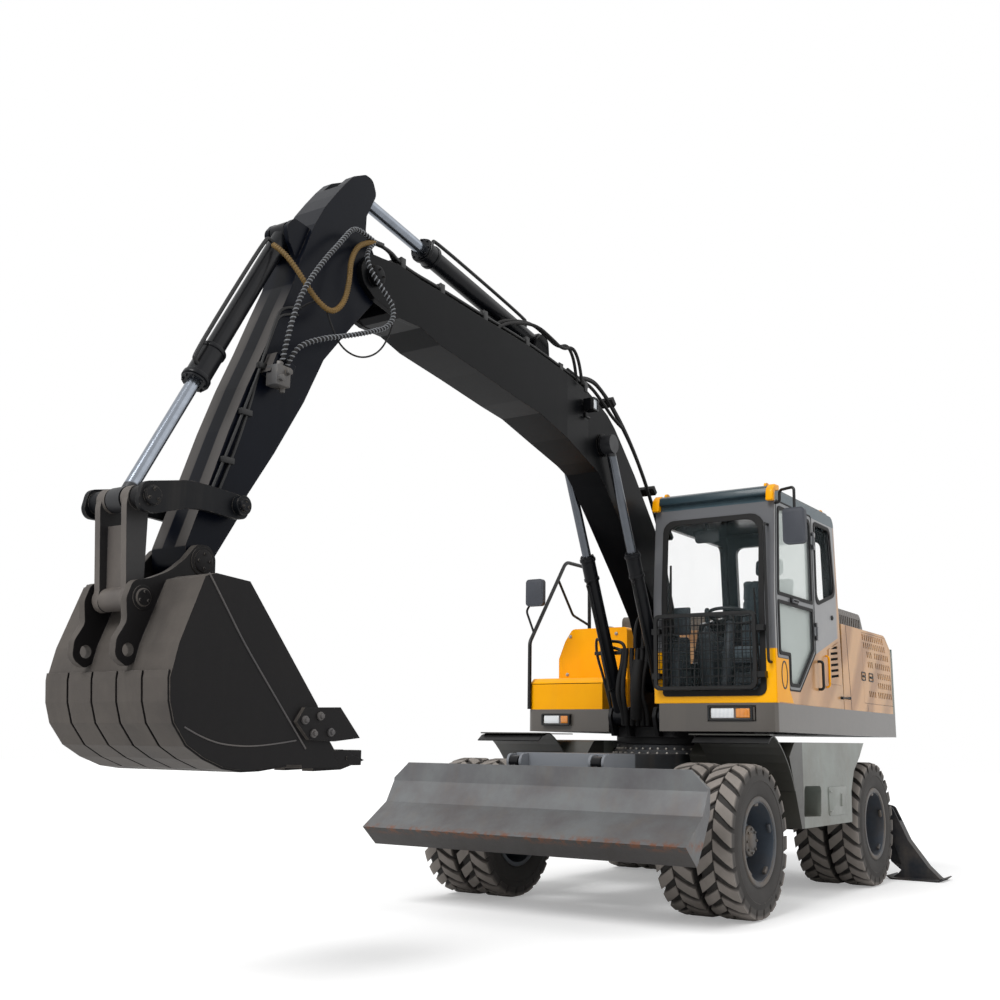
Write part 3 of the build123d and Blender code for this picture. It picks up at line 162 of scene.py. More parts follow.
def blockAt(x, y, z, edge=0.004, steps=2):
    clearSelection()
    middle = spot((x[0] + x[1]) / 2, (y[0] + y[1]) / 2, (z[0] + z[1]) / 2)
    bpy.ops.mesh.primitive_cube_add(size=1, location=middle)
    piece = bpy.context.object
    piece.scale = (x[1] - x[0], y[1] - y[0], z[1] - z[0])
    settle(piece)
    editing(piece)
    bpy.ops.mesh.bevel(offset=edge, segments=steps, affect="EDGES")
    editing(piece, False)
    return piece


def barAt(start, end, radius, sides=24, edge=0.002):
    a, b = spot(*start), spot(*end)
    way = b - a
    clearSelection()
    bpy.ops.mesh.primitive_cylinder_add(vertices=sides, radius=radius, depth=way.length,
                                        location=(a + b) / 2)
    piece = bpy.context.object
    piece.rotation_euler = way.to_track_quat("Z", "Y").to_euler()
    settle(piece)
    editing(piece)
    axis = way.normalized()
    chooseFaces(piece, lambda face: abs(face.normal.dot(axis)) > 0.9)
    bpy.ops.mesh.bevel(offset=edge, segments=2, affect="EDGES")
    editing(piece, False)
    return piece


planes = {
    "xz": (lambda u, v, low: spot(u, low, v), Vector((0, 1, 0))),
    "yz": (lambda u, v, low: spot(low, u, v), Vector((1, 0, 0))),
    "xy": (lambda u, v, low: spot(u, v, low), Vector((0, 0, 1))),
}


def tracedChain(spots, closed=False):
    # a corner point pulled out along the outline, one stretch at a time
    clearSelection()
    bpy.ops.mesh.primitive_plane_add(size=0.002, location=spots[0])
    piece = bpy.context.object
    bpy.ops.object.mode_set(mode="EDIT")
    bpy.ops.mesh.select_mode(type="VERT")
    bpy.ops.mesh.select_all(action="SELECT")
    bpy.ops.mesh.merge(type="CENTER")
    for here, there in zip(spots, spots[1:]):
        bpy.ops.mesh.extrude_vertices_move(TRANSFORM_OT_translate={"value": there - here})
    if closed:
        bpy.ops.mesh.select_all(action="SELECT")
        bpy.ops.mesh.edge_face_add()
    return piece


def plateAt(points, low, high, plane="xz", edge=0.003, steps=2):
    place, across = planes[plane]
    piece = tracedChain([place(u, v, low) for u, v in points], closed=True)
    bpy.ops.mesh.extrude_region_move(TRANSFORM_OT_translate={"value": across * (high - low)})
    bpy.ops.mesh.select_all(action="SELECT")
    bpy.ops.mesh.normals_make_consistent(inside=False)
    if edge:
        bpy.ops.mesh.bevel(offset=edge, segments=steps, affect="EDGES")
    editing(piece, False)
    return settle(piece)


def turnRound(piece, steps, centre, axis):
    bpy.ops.mesh.select_all(action="SELECT")
    bpy.ops.mesh.spin(steps=steps, angle=math.tau, center=centre, axis=axis)
    bpy.ops.mesh.select_all(action="SELECT")
    bpy.ops.mesh.remove_doubles(threshold=0.0002)
    bpy.ops.mesh.normals_make_consistent(inside=False)
    editing(piece, False)
    return settle(piece)


def spunAt(profile, x, z, steps=72, closed=False):
    # a wheel's section, y and radius, spun about its axle
    piece = tracedChain([spot(x, y, z + r) for y, r in profile])
    if closed:
        bpy.ops.mesh.select_all(action="SELECT")
        bpy.ops.mesh.edge_face_add()
        bpy.ops.mesh.delete(type="ONLY_FACE")
    return turnRound(piece, steps, spot(x, 0, z), (0, 1, 0))


def spinCopies(piece, count, centre, axis):
    editing(piece)
    bpy.ops.mesh.spin(steps=count - 1, angle=math.tau * (count - 1) / count, dupli=True, center=centre,
                      axis=axis)
    bpy.ops.mesh.select_all(action="SELECT")
    bpy.ops.mesh.remove_doubles(threshold=0.00001)
    editing(piece, False)
    return piece


def wireCurve(name, points, radius, order=3):
    curve = bpy.data.curves.new(name, "CURVE")
    curve.dimensions = "3D"
    curve.bevel_depth = radius
    curve.bevel_resolution = 3
    curve.resolution_u = 10
    curve.use_fill_caps = True
    spline = curve.splines.new("NURBS")
    spline.points.add(len(points) - 1)
    for knot, point in zip(spline.points, points):
        knot.co = (*spot(*point), 1)
    spline.order_u = order
    spline.use_endpoint_u = True
    piece = bpy.data.objects.new(name, curve)
    bpy.context.scene.collection.objects.link(piece)
    return piece


def tubeAt(points, radius, order=3):
    piece = wireCurve("tube", points, radius, order)
    pick(piece)
    bpy.ops.object.convert(target="MESH")
    return bpy.context.object


# Materials. Shared effects are node groups that give masks, colours and normals.

def groupStart(name, inputs, outputs):
    group = bpy.data.node_groups.new(name, "ShaderNodeTree")
    for label, kind, value in inputs:
        socket = group.interface.new_socket(name=label, in_out="INPUT", socket_type=kind)
        if value is not None:
            socket.default_value = value
    for label, kind in outputs:
        group.interface.new_socket(name=label, in_out="OUTPUT", socket_type=kind)
    return group, group.nodes.new("NodeGroupInput"), group.nodes.new("NodeGroupOutput")


def wired(tree):
    def add(kind, inputs=None, **settings):
        node = tree.nodes.new(kind)
        for key, value in settings.items():
            setattr(node, key, value)
        for key, value in (inputs or {}).items():
            if isinstance(value, bpy.types.NodeSocket):
                tree.links.new(value, node.inputs[key])
            else:
                node.inputs[key].default_value = value
        return node
    return add


def ramp(add, value, start, end, low=0.0, high=1.0):
    limits = {"Value": value, "From Min": start, "From Max": end, "To Min": low, "To Max": high}
    return add("ShaderNodeMapRange", limits).outputs["Result"]


def reckon(add, kind, first, second, clamp=False):
    return add("ShaderNodeMath", {0: first, 1: second}, operation=kind, use_clamp=clamp).outputs[0]


def product(add, *values):
    result = values[0]
    for value in values[1:]:
        result = reckon(add, "MULTIPLY", result, value)
    return result


def objectPlace(add):
    return add("ShaderNodeTexCoord").outputs["Object"]


def mottling(add, scale, detail=2.0, roughness=0.5):
    look = {"Vector": objectPlace(add), "Scale": scale, "Detail": detail, "Roughness": roughness}
    return add("ShaderNodeTexNoise", look).outputs["Fac"]


def edgeWearGroup():
    group, start, end = groupStart("edgeWear", [
        ("Width", "NodeSocketFloat", 0.006), ("Amount", "NodeSocketFloat", 0.5),
        ("Break", "NodeSocketFloat", 30.0)], [("Mask", "NodeSocketFloat"), ("Normal", "NodeSocketVector")])
    add = wired(group)
    bevel = add("ShaderNodeBevel", {"Radius": start.outputs["Width"]}, samples=4)
    surface = add("ShaderNodeNewGeometry")
    facing = add("ShaderNodeVectorMath", {0: bevel.outputs[0], 1: surface.outputs["Normal"]},
                 operation="DOT_PRODUCT")
    spread = ramp(add, facing.outputs["Value"], 0.97, 0.80)
    broken = ramp(add, mottling(add, start.outputs["Break"], 5.0, 0.7), 0.46, 0.60)
    worn = reckon(add, "MULTIPLY", product(add, spread, broken), start.outputs["Amount"], clamp=True)
    group.links.new(worn, end.inputs["Mask"])
    group.links.new(bevel.outputs[0], end.inputs["Normal"])
    return group


def dustGroup():
    # dust lies on what faces up and low down, in patches and speckles
    group, start, end = groupStart("dust", [
        ("Amount", "NodeSocketFloat", 0.3), ("Reach", "NodeSocketFloat", 1.2)],
        [("Mask", "NodeSocketFloat"), ("Patches", "NodeSocketFloat"), ("Fine", "NodeSocketFloat")])
    add = wired(group)
    surface = add("ShaderNodeNewGeometry")
    up = add("ShaderNodeSeparateXYZ", {0: surface.outputs["Normal"]}).outputs["Z"]
    high = add("ShaderNodeSeparateXYZ", {0: objectPlace(add)}).outputs["Z"]
    low = ramp(add, high, start.outputs["Reach"], 0.0)
    patch = ramp(add, mottling(add, 3.0, 6.0, 0.62), 0.36, 0.68)
    fine = mottling(add, 55.0, 4.0, 0.7)
    either = reckon(add, "ADD", ramp(add, up, 0.1, 1.0), low, clamp=True)
    base = reckon(add, "ADD", either, 0.18)
    speckled = product(add, base, patch, ramp(add, fine, 0.30, 0.62, 0.45, 1.0))
    scaled = reckon(add, "MULTIPLY", speckled, start.outputs["Amount"], clamp=True)
    group.links.new(scaled, end.inputs["Mask"])
    group.links.new(patch, end.inputs["Patches"])
    group.links.new(fine, end.inputs["Fine"])
    return group


def streakGroup():
    # runs of dirt, drawn long downwards
    sizes = [("Amount", "NodeSocketFloat", 0.2), ("Scale", "NodeSocketFloat", 9.0)]
    group, start, end = groupStart("streaks", sizes, [("Mask", "NodeSocketFloat")])
    add = wired(group)
    stretch = add("ShaderNodeMapping", {"Vector": objectPlace(add), "Scale": (1.0, 1.0, 0.12)})
    noise = add("ShaderNodeTexNoise", {"Vector": stretch.outputs[0], "Scale": start.outputs["Scale"],
                                       "Detail": 5.0, "Roughness": 0.6})
    cut = ramp(add, noise.outputs["Fac"], 0.52, 0.74)
    group.links.new(reckon(add, "MULTIPLY", cut, start.outputs["Amount"], clamp=True), end.inputs["Mask"])
    return group


def reflectionBandGroup():
    # painted reflection: soft brown bands of reflected light in polished sheet
    group, start, end = groupStart("reflectionBands", [("Amount", "NodeSocketFloat", 0.3)],
                                   [("Mask", "NodeSocketFloat")])
    add = wired(group)
    reflectionWave = add("ShaderNodeTexWave", {"Vector": objectPlace(add), "Scale": 1.15, "Distortion": 5.0,
                                     "Detail": 2.0, "Detail Scale": 0.8}, bands_direction="DIAGONAL")
    cut = ramp(add, reflectionWave.outputs["Fac"], 0.25, 0.85)
    soft = ramp(add, mottling(add, 1.3), 0.30, 0.50)
    scaled = reckon(add, "MULTIPLY", product(add, cut, soft), start.outputs["Amount"], clamp=True)
    group.links.new(scaled, end.inputs["Mask"])
    return group


shared = {"edgeWear": edgeWearGroup(), "dust": dustGroup(), "streaks": streakGroup(), "reflectionBands": reflectionBandGroup()}


def blend(add, amount, first, second):
    node = add("ShaderNodeMix", data_type="RGBA")
    tree = node.id_data
    for value, socket in ((amount, node.inputs[0]), (first, node.inputs[6]), (second, node.inputs[7])):
        if isinstance(value, bpy.types.NodeSocket):
            tree.links.new(value, socket)
        else:
            socket.default_value = value
    return node.outputs[2]


def useGroup(add, name, **inputs):
    node = add("ShaderNodeGroup", node_tree=shared[name])
    for key, value in inputs.items():
        node.inputs[key].default_value = value
    return node


def newMaterial(name):
    material = bpy.data.materials.new(name)
    material.use_nodes = True
    tree = material.node_tree
    tree.nodes.clear()
    add = wired(tree)
    shader = add("ShaderNodeBsdfPrincipled")
    add("ShaderNodeOutputMaterial", {"Surface": shader.outputs[0]})
    return material, tree, add, shader


def bumpOn(tree, add, shader, height, strength, distance, **more):
    bump = add("ShaderNodeBump", {"Height": height, "Strength": strength, "Distance": distance, **more})
    tree.links.new(bump.outputs[0], shader.inputs["Normal"])


# Two colours that mottle, roughness, metal, shine, coat, dust and its amount, the colour, amount and
# width of worn edges, bump, streaks, and painted reflection bands and their colour where the sheet has them
finishes = {
    "boomPaint": dict(colour="050608", mottle="090a0d", rough=0.3, shine=0.07, dust="45413d",
                      dustAmount=0.05, worn="6f675e", wear=0.4, width=0.006, bump=0.05, streaks=0.03),
    "armPaint": dict(colour="040812", mottle="080c16", rough=0.3, shine=0.08, dust="45413d",
                     dustAmount=0.04, worn="6f675e", wear=0.4, width=0.006, bump=0.05, streaks=0.03),
    "bucketPaint": dict(colour="4a4643", mottle="544f4b", rough=0.46, metal=0.1, shine=0.14, dust="6a655f",
                        dustAmount=0.34, worn="7f7a75", wear=0.5, width=0.009, bump=0.35, streaks=0.22),
    "leverPaint": dict(colour="0c0e12", mottle="151517", rough=0.42, shine=0.14, dust="55504b",
                       dustAmount=0.12, worn="8a8177", wear=0.7, width=0.005, bump=0.2, streaks=0.12),
    "linkPaint": dict(colour="4a4542", mottle="5c5651", rough=0.55, dust="6f675f", dustAmount=0.5,
                      worn="8b837a", wear=0.6, width=0.006, bump=0.3, streaks=0.2),
    "bladePaint": dict(colour="6b6d6e", mottle="56565a", rough=0.36, metal=0.45, dust="6c6258",
                       dustAmount=0.3, worn="96938f", wear=0.6, width=0.007, bump=0.18, streaks=0.35),
    "barrelPaint": dict(colour="0b0d11", mottle="121317", rough=0.28, shine=0.14, coat=0.1, dust="58534d",
                        dustAmount=0.07, worn="625d57", wear=0.25, width=0.004, bump=0.05, streaks=0.06),
    "standPaint": dict(colour="1d2128", mottle="2b2a2b", rough=0.48, shine=0.35, dust="6a6056",
                       dustAmount=0.4, worn="70695f", wear=0.45, width=0.006, bump=0.18, streaks=0.2),
    "chassisPaint": dict(colour="3a3e44", mottle="303133", rough=0.45, shine=0.4, dust="675d52",
                         dustAmount=0.4, worn="70695f", wear=0.3, width=0.006, bump=0.12, streaks=0.25),
    "boxPaint": dict(colour="7a807a", mottle="6a6d67", rough=0.34, coat=0.2, dust="776e62", dustAmount=0.3,
                     worn="989286", wear=0.35, width=0.005, bump=0.05, streaks=0.25),
    "axlePaint": dict(colour="151719", mottle="25211f", rough=0.6, shine=0.3, dust="5b5146", dustAmount=0.5,
                      worn="5d564e", wear=0.3, width=0.006, bump=0.25, streaks=0.1),
    "rimPaint": dict(colour="4c545e", mottle="4c5056", rough=0.4, metal=0.1, shine=0.4, dust="75624f",
                     dustAmount=0.16, worn="94846f", wear=0.5, width=0.006, bump=0.08, streaks=0.1),
    "skirtPaint": dict(colour="57524d", mottle="524e4a", rough=0.26, coat=0.25, dust="736c61",
                       dustAmount=0.12, worn="8c897e", wear=0.2, width=0.004, bump=0.004, streaks=0.12),
    "framePaint": dict(colour="0a0b0d", mottle="151518", rough=0.5, shine=0.3, dust="454039",
                       dustAmount=0.14, worn="4a463f", wear=0.25, width=0.005, bump=0.1, streaks=0.05),
    "yellowPaint": dict(colour="fdae00", mottle="f8a600", rough=0.26, shine=0.12, coat=0.08, dust="b08a4c",
                        dustAmount=0.05, worn="c9a05a", wear=0.12, width=0.004, bump=0.004, streaks=0.05),
    "coverPaint": dict(colour="d2a06e", mottle="c39a6c", rough=0.12, shine=0.16, coat=0.12, dust="8a7c68",
                       dustAmount=0.05, worn="8e6b49", wear=0.35, width=0.006, bump=0.004, streaks=0.05,
                       reflectionBands=0.5, reflectionWave="744420"),
    "lidPaint": dict(colour="5d564f", mottle="544f49", rough=0.22, shine=0.2, coat=0.1, dust="77695b",
                     dustAmount=0.12, worn="8a6a4b", wear=0.3, width=0.006, bump=0.02, streaks=0.05),
    "weightPaint": dict(colour="4f6864", mottle="5e716b", rough=0.22, coat=0.5, dust="717063",
                        dustAmount=0.12, worn="8c897e", wear=0.25, width=0.008, bump=0.03, streaks=0.1),
    "blackPaint": dict(colour="0b0c0d", mottle="121213", rough=0.36, shine=0.35, dust="3c3833",
                       dustAmount=0.12, worn="474239", wear=0.2, width=0.003, bump=0.03, streaks=0.05),
    "mirrorShell": dict(colour="40434a", mottle="383b42", rough=0.55, shine=0.4, dust="5f5a55",
                        dustAmount=0.12, worn="55524e", wear=0.2, width=0.004, bump=0.12, streaks=0.02),
    "rubber": dict(colour="0c0c0d", mottle="131212", rough=0.6, shine=0.3, dust="3b3630", dustAmount=0.16,
                   worn="2d2a27", wear=0.2, width=0.003, bump=0.1),
    "plasticGrey": dict(colour="2c343a", mottle="262d33", rough=0.55, dust="6d6a66", dustAmount=0.06,
                        worn="707476", wear=0.1, width=0.004, bump=0.12),
    "plasticDark": dict(colour="15181a", mottle="1c1f21", rough=0.5, shine=0.4, dust="4a4743",
                        dustAmount=0.08, worn="3c3c3a", wear=0.15, width=0.003, bump=0.12),
    "plasticPale": dict(colour="c7c2b8", mottle="bbb7ab", rough=0.5, dust="9c978c", dustAmount=0.08,
                        worn="aaa59b", wear=0.1, width=0.004, bump=0.1),
    "roofPaint": dict(colour="24353d", mottle="2a3b42", rough=0.28, shine=0.3, coat=0.1, dust="5f605a",
                      dustAmount=0.12, worn="64615a", wear=0.2, width=0.006, bump=0.03, streaks=0.05),
    "doorPaint": dict(colour="5d5f62", mottle="525559", rough=0.25, coat=0.3, dust="6f6a61", dustAmount=0.1,
                      worn="7d776d", wear=0.2, width=0.005, bump=0.03, streaks=0.06),
    "zincPlate": dict(colour="b5b1aa", mottle="96918a", rough=0.34, metal=0.6, dust="6a6259",
                      dustAmount=0.22, worn="b5b2ac", wear=0.3, width=0.002, bump=0.05),
    "hoseYellow": dict(colour="7d6235", mottle="68532d", rough=0.5, shine=0.3, dust="5c5346",
                       dustAmount=0.2, worn="94805a", wear=0.1, width=0.002, bump=0.1),
    "rimParts": dict(colour="4c4f53", mottle="5c5752", rough=0.42, metal=0.3, shine=0.4, dust="85725e",
                     dustAmount=0.35, worn="a3937f", wear=0.6, width=0.004, bump=0.08, streaks=0.1),
    "weldBead": dict(colour="4f4d4e", mottle="5f5b58", rough=0.5, metal=0.3, dust="6b635b", dustAmount=0.2,
                     worn="8c857d", wear=0.4, width=0.002, bump=0.3),
    "hoseGrey": dict(colour="83868a", mottle="6f7175", rough=0.5, metal=0.3, shine=0.4, dust="5c564e",
                     dustAmount=0.2, worn="6a655d", wear=0.1, width=0.002, bump=0.1),
}
dustReach = 1.3  # how high off the ground the dust climbs


def paint(name):
    look = finishes[name]
    material, tree, add, shader = newMaterial(name)
    dust = useGroup(add, "dust", Amount=look["dustAmount"], Reach=dustReach)
    edges = useGroup(add, "edgeWear", Width=look["width"], Amount=look["wear"])
    streaks = useGroup(add, "streaks", Amount=look.get("streaks", 0.0))
    colour = blend(add, dust.outputs["Patches"], tint(look["colour"]), tint(look["mottle"]))
    # painted reflection: soft bands of reflected light on glossy sheet
    if "reflectionBands" in look:
        reflectionBands = useGroup(add, "reflectionBands", Amount=look["reflectionBands"])
        colour = blend(add, reflectionBands.outputs["Mask"], colour, tint(look["reflectionWave"]))
    colour = blend(add, streaks.outputs["Mask"], colour, tint(look["dust"]))
    colour = blend(add, dust.outputs["Mask"], colour, tint(look["dust"]))
    colour = blend(add, edges.outputs["Mask"], colour, tint(look["worn"]))
    tree.links.new(colour, shader.inputs["Base Color"])
    rough = ramp(add, dust.outputs["Mask"], 0.0, 1.0, look["rough"], min(0.9, look["rough"] + 0.45))
    fine = reckon(add, "MULTIPLY", dust.outputs["Fine"], 0.10)
    tree.links.new(reckon(add, "ADD", rough, fine, clamp=True), shader.inputs["Roughness"])
    shader.inputs["Metallic"].default_value = look.get("metal", 0.0)
    shader.inputs["Specular IOR Level"].default_value = look.get("shine", 0.5)
    shader.inputs["Coat Weight"].default_value = look.get("coat", 0.0)
    shader.inputs["Coat Roughness"].default_value = 0.08
    bumpOn(tree, add, shader, dust.outputs["Fine"], look["bump"], 0.002, Normal=edges.outputs["Normal"])
    return material


materials = {name: paint(name) for name in finishes}


def shadeAndSeamBlack():
    # near-black: painted shade behind the slots and in the side recess, and the dark seams on the tank
    material, tree, add, shader = newMaterial("shadeAndSeamBlack")
    colour = blend(add, mottling(add, 20.0, 3.0), tint("060606"), tint("101010"))
    tree.links.new(colour, shader.inputs["Base Color"])
    shader.inputs["Roughness"].default_value = 0.9
    shader.inputs["Specular IOR Level"].default_value = 0.1
    return material


def positionMask(add, axis, low, high):
    # 1 past high, 0 before low, along one axis, with x from the slewing axis
    split = add("ShaderNodeSeparateXYZ", {0: objectPlace(add)})
    shift = slewX if axis == "X" else 0.0
    return ramp(add, split.outputs[axis], low + shift, high + shift)


def facingMask(add, direction, low=0.4, high=0.6):
    surface = add("ShaderNodeNewGeometry")
    dot = add("ShaderNodeVectorMath", {0: surface.outputs["Normal"], 1: direction}, operation="DOT_PRODUCT")
    return ramp(add, dot.outputs["Value"], low, high)


def chrome():
    material, tree, add, shader = newMaterial("rodChrome")
    noise = mottling(add, 14.0, 6.0, 0.7)
    tree.links.new(blend(add, noise, tint("a9b3c2"), tint("8f9aac")), shader.inputs["Base Color"])
    tree.links.new(ramp(add, noise, 0.3, 0.7, 0.12, 0.26), shader.inputs["Roughness"])
    shader.inputs["Metallic"].default_value = 0.95
    return material


def glassPane(name, colour, alpha):
    # clear glass with a thin uneven film
    material, tree, add, shader = newMaterial(name)
    noise = mottling(add, 5.0, 5.0, 0.6)
    tree.links.new(ramp(add, noise, 0.35, 0.75, 0.02, 0.10), shader.inputs["Roughness"])
    shader.inputs["Base Color"].default_value = tint(colour)
    tree.links.new(ramp(add, noise, 0.0, 1.0, alpha, alpha + 0.03), shader.inputs["Alpha"])
    shader.inputs["Specular IOR Level"].default_value = 0.12
    return material


def lampGlass(name, colour, glow):
    material, tree, add, shader = newMaterial(name)
    ribs = add("ShaderNodeTexWave", {"Vector": objectPlace(add), "Scale": 30.0, "Distortion": 0.4},
               bands_direction="Y")
    light = blend(add, ribs.outputs["Fac"], tint(colour), tint(glow))
    tree.links.new(light, shader.inputs["Base Color"])
    shader.inputs["Roughness"].default_value = 0.12
    shader.inputs["Coat Weight"].default_value = 1.0
    bumpOn(tree, add, shader, ribs.outputs["Fac"], 0.3, 0.003)
    return material


def fabric():
    material, tree, add, shader = newMaterial("seatCloth")
    weave = add("ShaderNodeTexWave", {"Vector": objectPlace(add), "Scale": 170.0, "Distortion": 1.0},
                bands_direction="DIAGONAL")
    colour = blend(add, weave.outputs["Fac"], tint("4a575e"), tint("6b7c84"))
    colour = blend(add, mottling(add, 8.0, 4.0), colour, tint("58666e"))
    tree.links.new(colour, shader.inputs["Base Color"])
    shader.inputs["Roughness"].default_value = 0.85
    shader.inputs["Sheen Weight"].default_value = 0.3
    bumpOn(tree, add, shader, weave.outputs["Fac"], 0.35, 0.001)
    return material


def tyreRubber():
    # worn tread faces are pale brown, the grooves and sidewalls stay dark
    material, tree, add, shader = newMaterial("tyreRubber")
    worn = add("ShaderNodeAttribute", attribute_name="tread")
    wide = mottling(add, 6.0, 6.0, 0.65)
    dark = blend(add, wide, tint("0f0f10"), tint("201f1f"))
    pale = blend(add, wide, tint("6b6660"), tint("98908a"))
    colour = blend(add, worn.outputs["Fac"], dark, pale)
    edges = useGroup(add, "edgeWear", Width=0.006, Amount=0.55, Break=18.0)
    colour = blend(add, edges.outputs["Mask"], colour, tint("7a7168"))
    tree.links.new(colour, shader.inputs["Base Color"])
    shader.inputs["Roughness"].default_value = 0.82
    bumpOn(tree, add, shader, mottling(add, 90.0, 3.0), 0.25, 0.002, Normal=edges.outputs["Normal"])
    return material


materials["rodChrome"] = chrome()
materials["shadeAndSeamBlack"] = shadeAndSeamBlack()
materials["cabGlass"] = glassPane("cabGlass", "8fa3a6", 0.01)
# the door glass is pale and half opaque: a painted reflection of the bright sky
materials["doorGlassPaleReflection"] = glassPane("doorGlassPaleReflection", "dfe8e4", 0.50)
materials["seatCloth"] = fabric()
materials["tyreRubber"] = tyreRubber()
materials["lampWhite"] = lampGlass("lampWhite", "c9d2d8", "ffffff")
materials["lampAmber"] = lampGlass("lampAmber", "c9690a", "f6a23a")
print("materials made")


def cabPaint():
    # yellow foot at the front, grey frame, dark roof, tan side below the windows
    material, tree, add, shader = newMaterial("cabPaint")
    dust = useGroup(add, "dust", Amount=0.12, Reach=dustReach)
    edges = useGroup(add, "edgeWear", Width=0.014, Amount=0.22)
    patches = dust.outputs["Patches"]
    split = add("ShaderNodeSeparateXYZ", {0: objectPlace(add)})
    grey = blend(add, patches, tint("949495"), tint("8a8b8d"))
    # painted shade: faces turned to the front are made a darker grey
    grey = blend(add, facingMask(add, (1, 0, 0), 0.6, 0.8), grey, tint("66676a"))
    tan = blend(add, patches, tint("cf9f70"), tint("bf976c"))
    side = facingMask(add, (0, 1, 0), 0.5, 0.7)
    # the tan starts under a line that climbs to the rear
    climb, lineX, lineZ = 0.31, 0.082, 1.87
    slope = reckon(add, "MULTIPLY", split.outputs["X"], -climb)
    line = reckon(add, "ADD", slope, lineZ + climb * (lineX + slewX))
    below = ramp(add, reckon(add, "SUBTRACT", line, split.outputs["Z"]), 0.0, 0.006)
    lower = reckon(add, "MAXIMUM", below, positionMask(add, "X", -0.44, -0.50))
    # painted reflection: soft bands of reflected light over the tan side
    reflectionBands = useGroup(add, "reflectionBands", Amount=0.5)
    tan = blend(add, reflectionBands.outputs["Mask"], tan, tint("7d4d2a"))
    colour = blend(add, product(add, side, lower), grey, tan)
    foot = product(add, positionMask(add, "X", 0.90, 0.91), positionMask(add, "Z", 1.856, 1.850))
    colour = blend(add, foot, colour, tint("ffb400"))
    roofTop = blend(add, patches, tint("3d4f58"), tint("4a5a61"))
    colour = blend(add, positionMask(add, "Z", 2.962, 2.966), colour, roofTop)
    colour = blend(add, dust.outputs["Mask"], colour, tint("7a7368"))
    colour = blend(add, edges.outputs["Mask"], colour, tint("93714f"))
    # painted shade inside the cab: the faces inside, up to the walls and the leaning front, are darkened
    frontLean, frontFoot = 0.0896, 0.921
    lean = add("ShaderNodeVectorMath", {0: objectPlace(add), 1: (1, 0, frontLean)}, operation="DOT_PRODUCT")
    limit = frontFoot + slewX + 2.25 * frontLean
    inner = [ramp(add, lean.outputs["Value"], limit + 0.004, limit)]
    for axis, low, high in (("X", 0.925, 0.921), ("X", -0.535, -0.531), ("Y", 1.235, 1.231),
                            ("Z", 2.985, 2.981), ("Z", 1.47, 1.474), ("Y", 0.262, 0.266)):
        inner.append(positionMask(add, axis, low, high))
    colour = blend(add, product(add, *inner), colour, tint("26292c"))
    tree.links.new(colour, shader.inputs["Base Color"])
    shader.inputs["Roughness"].default_value = 0.22
    shader.inputs["Specular IOR Level"].default_value = 0.2
    shader.inputs["Coat Weight"].default_value = 0.12
    shader.inputs["Coat Roughness"].default_value = 0.06
    bumpOn(tree, add, shader, dust.outputs["Fine"], 0.02, 0.002, Normal=edges.outputs["Normal"])
    return material


materials["cabPaint"] = cabPaint()


# Cylinders of the working gear: pins, rod eye, and where the barrel's end and its second ring are
cylinders = {
    "boom": dict(foot=(0.625, 1.370), eye=(1.545, 3.390), eyeRadius=0.095, steel="54575c",
        rings="boom_glands", body="boom_barrel_pair", barrelEnd=1.355, radius=0.056, collar=0.185,
        sides=(0.2, -0.2)),
    "arm": dict(foot=(2.330, 4.000), eye=(4.330, 4.350), eyeRadius=0.095, steel="9aa1ac",
        rings="arm_gland", body="dipper_barrel", barrelEnd=1.370, radius=0.074, collar=0.110, sides=(0.0,)),
    "bucket": dict(foot=(4.890, 3.870), eye=(5.814, 2.206), eyeRadius=0.090, steel="9aa1ac",
        rings="bucket_gland", body="curl_barrel", barrelEnd=1.150, radius=0.066, collar=0.215, sides=(0.0,)),
}


def rodPaint(name, cylinder):
    # a chromed rod whose eye is painted
    material, tree, add, shader = newMaterial(name)
    noise = mottling(add, 14.0, 6.0, 0.7)
    (eyeX, eyeZ), reach = cylinder["eye"], cylinder["eyeRadius"]
    flat = add("ShaderNodeVectorMath", {0: objectPlace(add), 1: (1, 0, 1)}, operation="MULTIPLY")
    gap = add("ShaderNodeVectorMath", {0: flat.outputs["Vector"], 1: (eyeX + slewX, 0, eyeZ)},
              operation="DISTANCE")
    eye = ramp(add, gap.outputs["Value"], reach + 0.004, reach - 0.004)
    metal = blend(add, noise, tint(cylinder["steel"]), tint("6f747b"))
    dark = blend(add, noise, tint("101216"), tint("232326"))
    tree.links.new(blend(add, eye, metal, dark), shader.inputs["Base Color"])
    rough = ramp(add, noise, 0.3, 0.7, 0.14, 0.28)
    more = reckon(add, "MULTIPLY", eye, 0.28)
    tree.links.new(reckon(add, "ADD", rough, more), shader.inputs["Roughness"])
    tree.links.new(reckon(add, "SUBTRACT", 0.9, eye, clamp=True), shader.inputs["Metallic"])
    return material


for cylinderName, cylinder in cylinders.items():
    paintName = cylinderName + "RodPaint"
    materials[paintName] = rodPaint(paintName, cylinder)


def addZone(material, dark, zone):
    # a second colour where the zone's mask says
    tree = material.node_tree
    add = wired(tree)
    shader = next(node for node in tree.nodes if node.type == "BSDF_PRINCIPLED")
    before = shader.inputs["Base Color"].links[0].from_socket
    tree.links.new(blend(add, zone(add), before, dark), shader.inputs["Base Color"])


def acrossMask(add, value, low, high):
    # by how far a direction or place lies to either side
    split = add("ShaderNodeSeparateXYZ", {0: value})
    across = add("ShaderNodeMath", {0: split.outputs["Y"]}, operation="ABSOLUTE").outputs[0]
    return ramp(add, across, low, high)


def sideFacesShade(add):
    # painted shade: faces turned to either side are darkened, on the bucket and on the link
    surface = add("ShaderNodeNewGeometry")
    return product(add, acrossMask(add, surface.outputs["Normal"], 0.75, 0.85), 0.92)


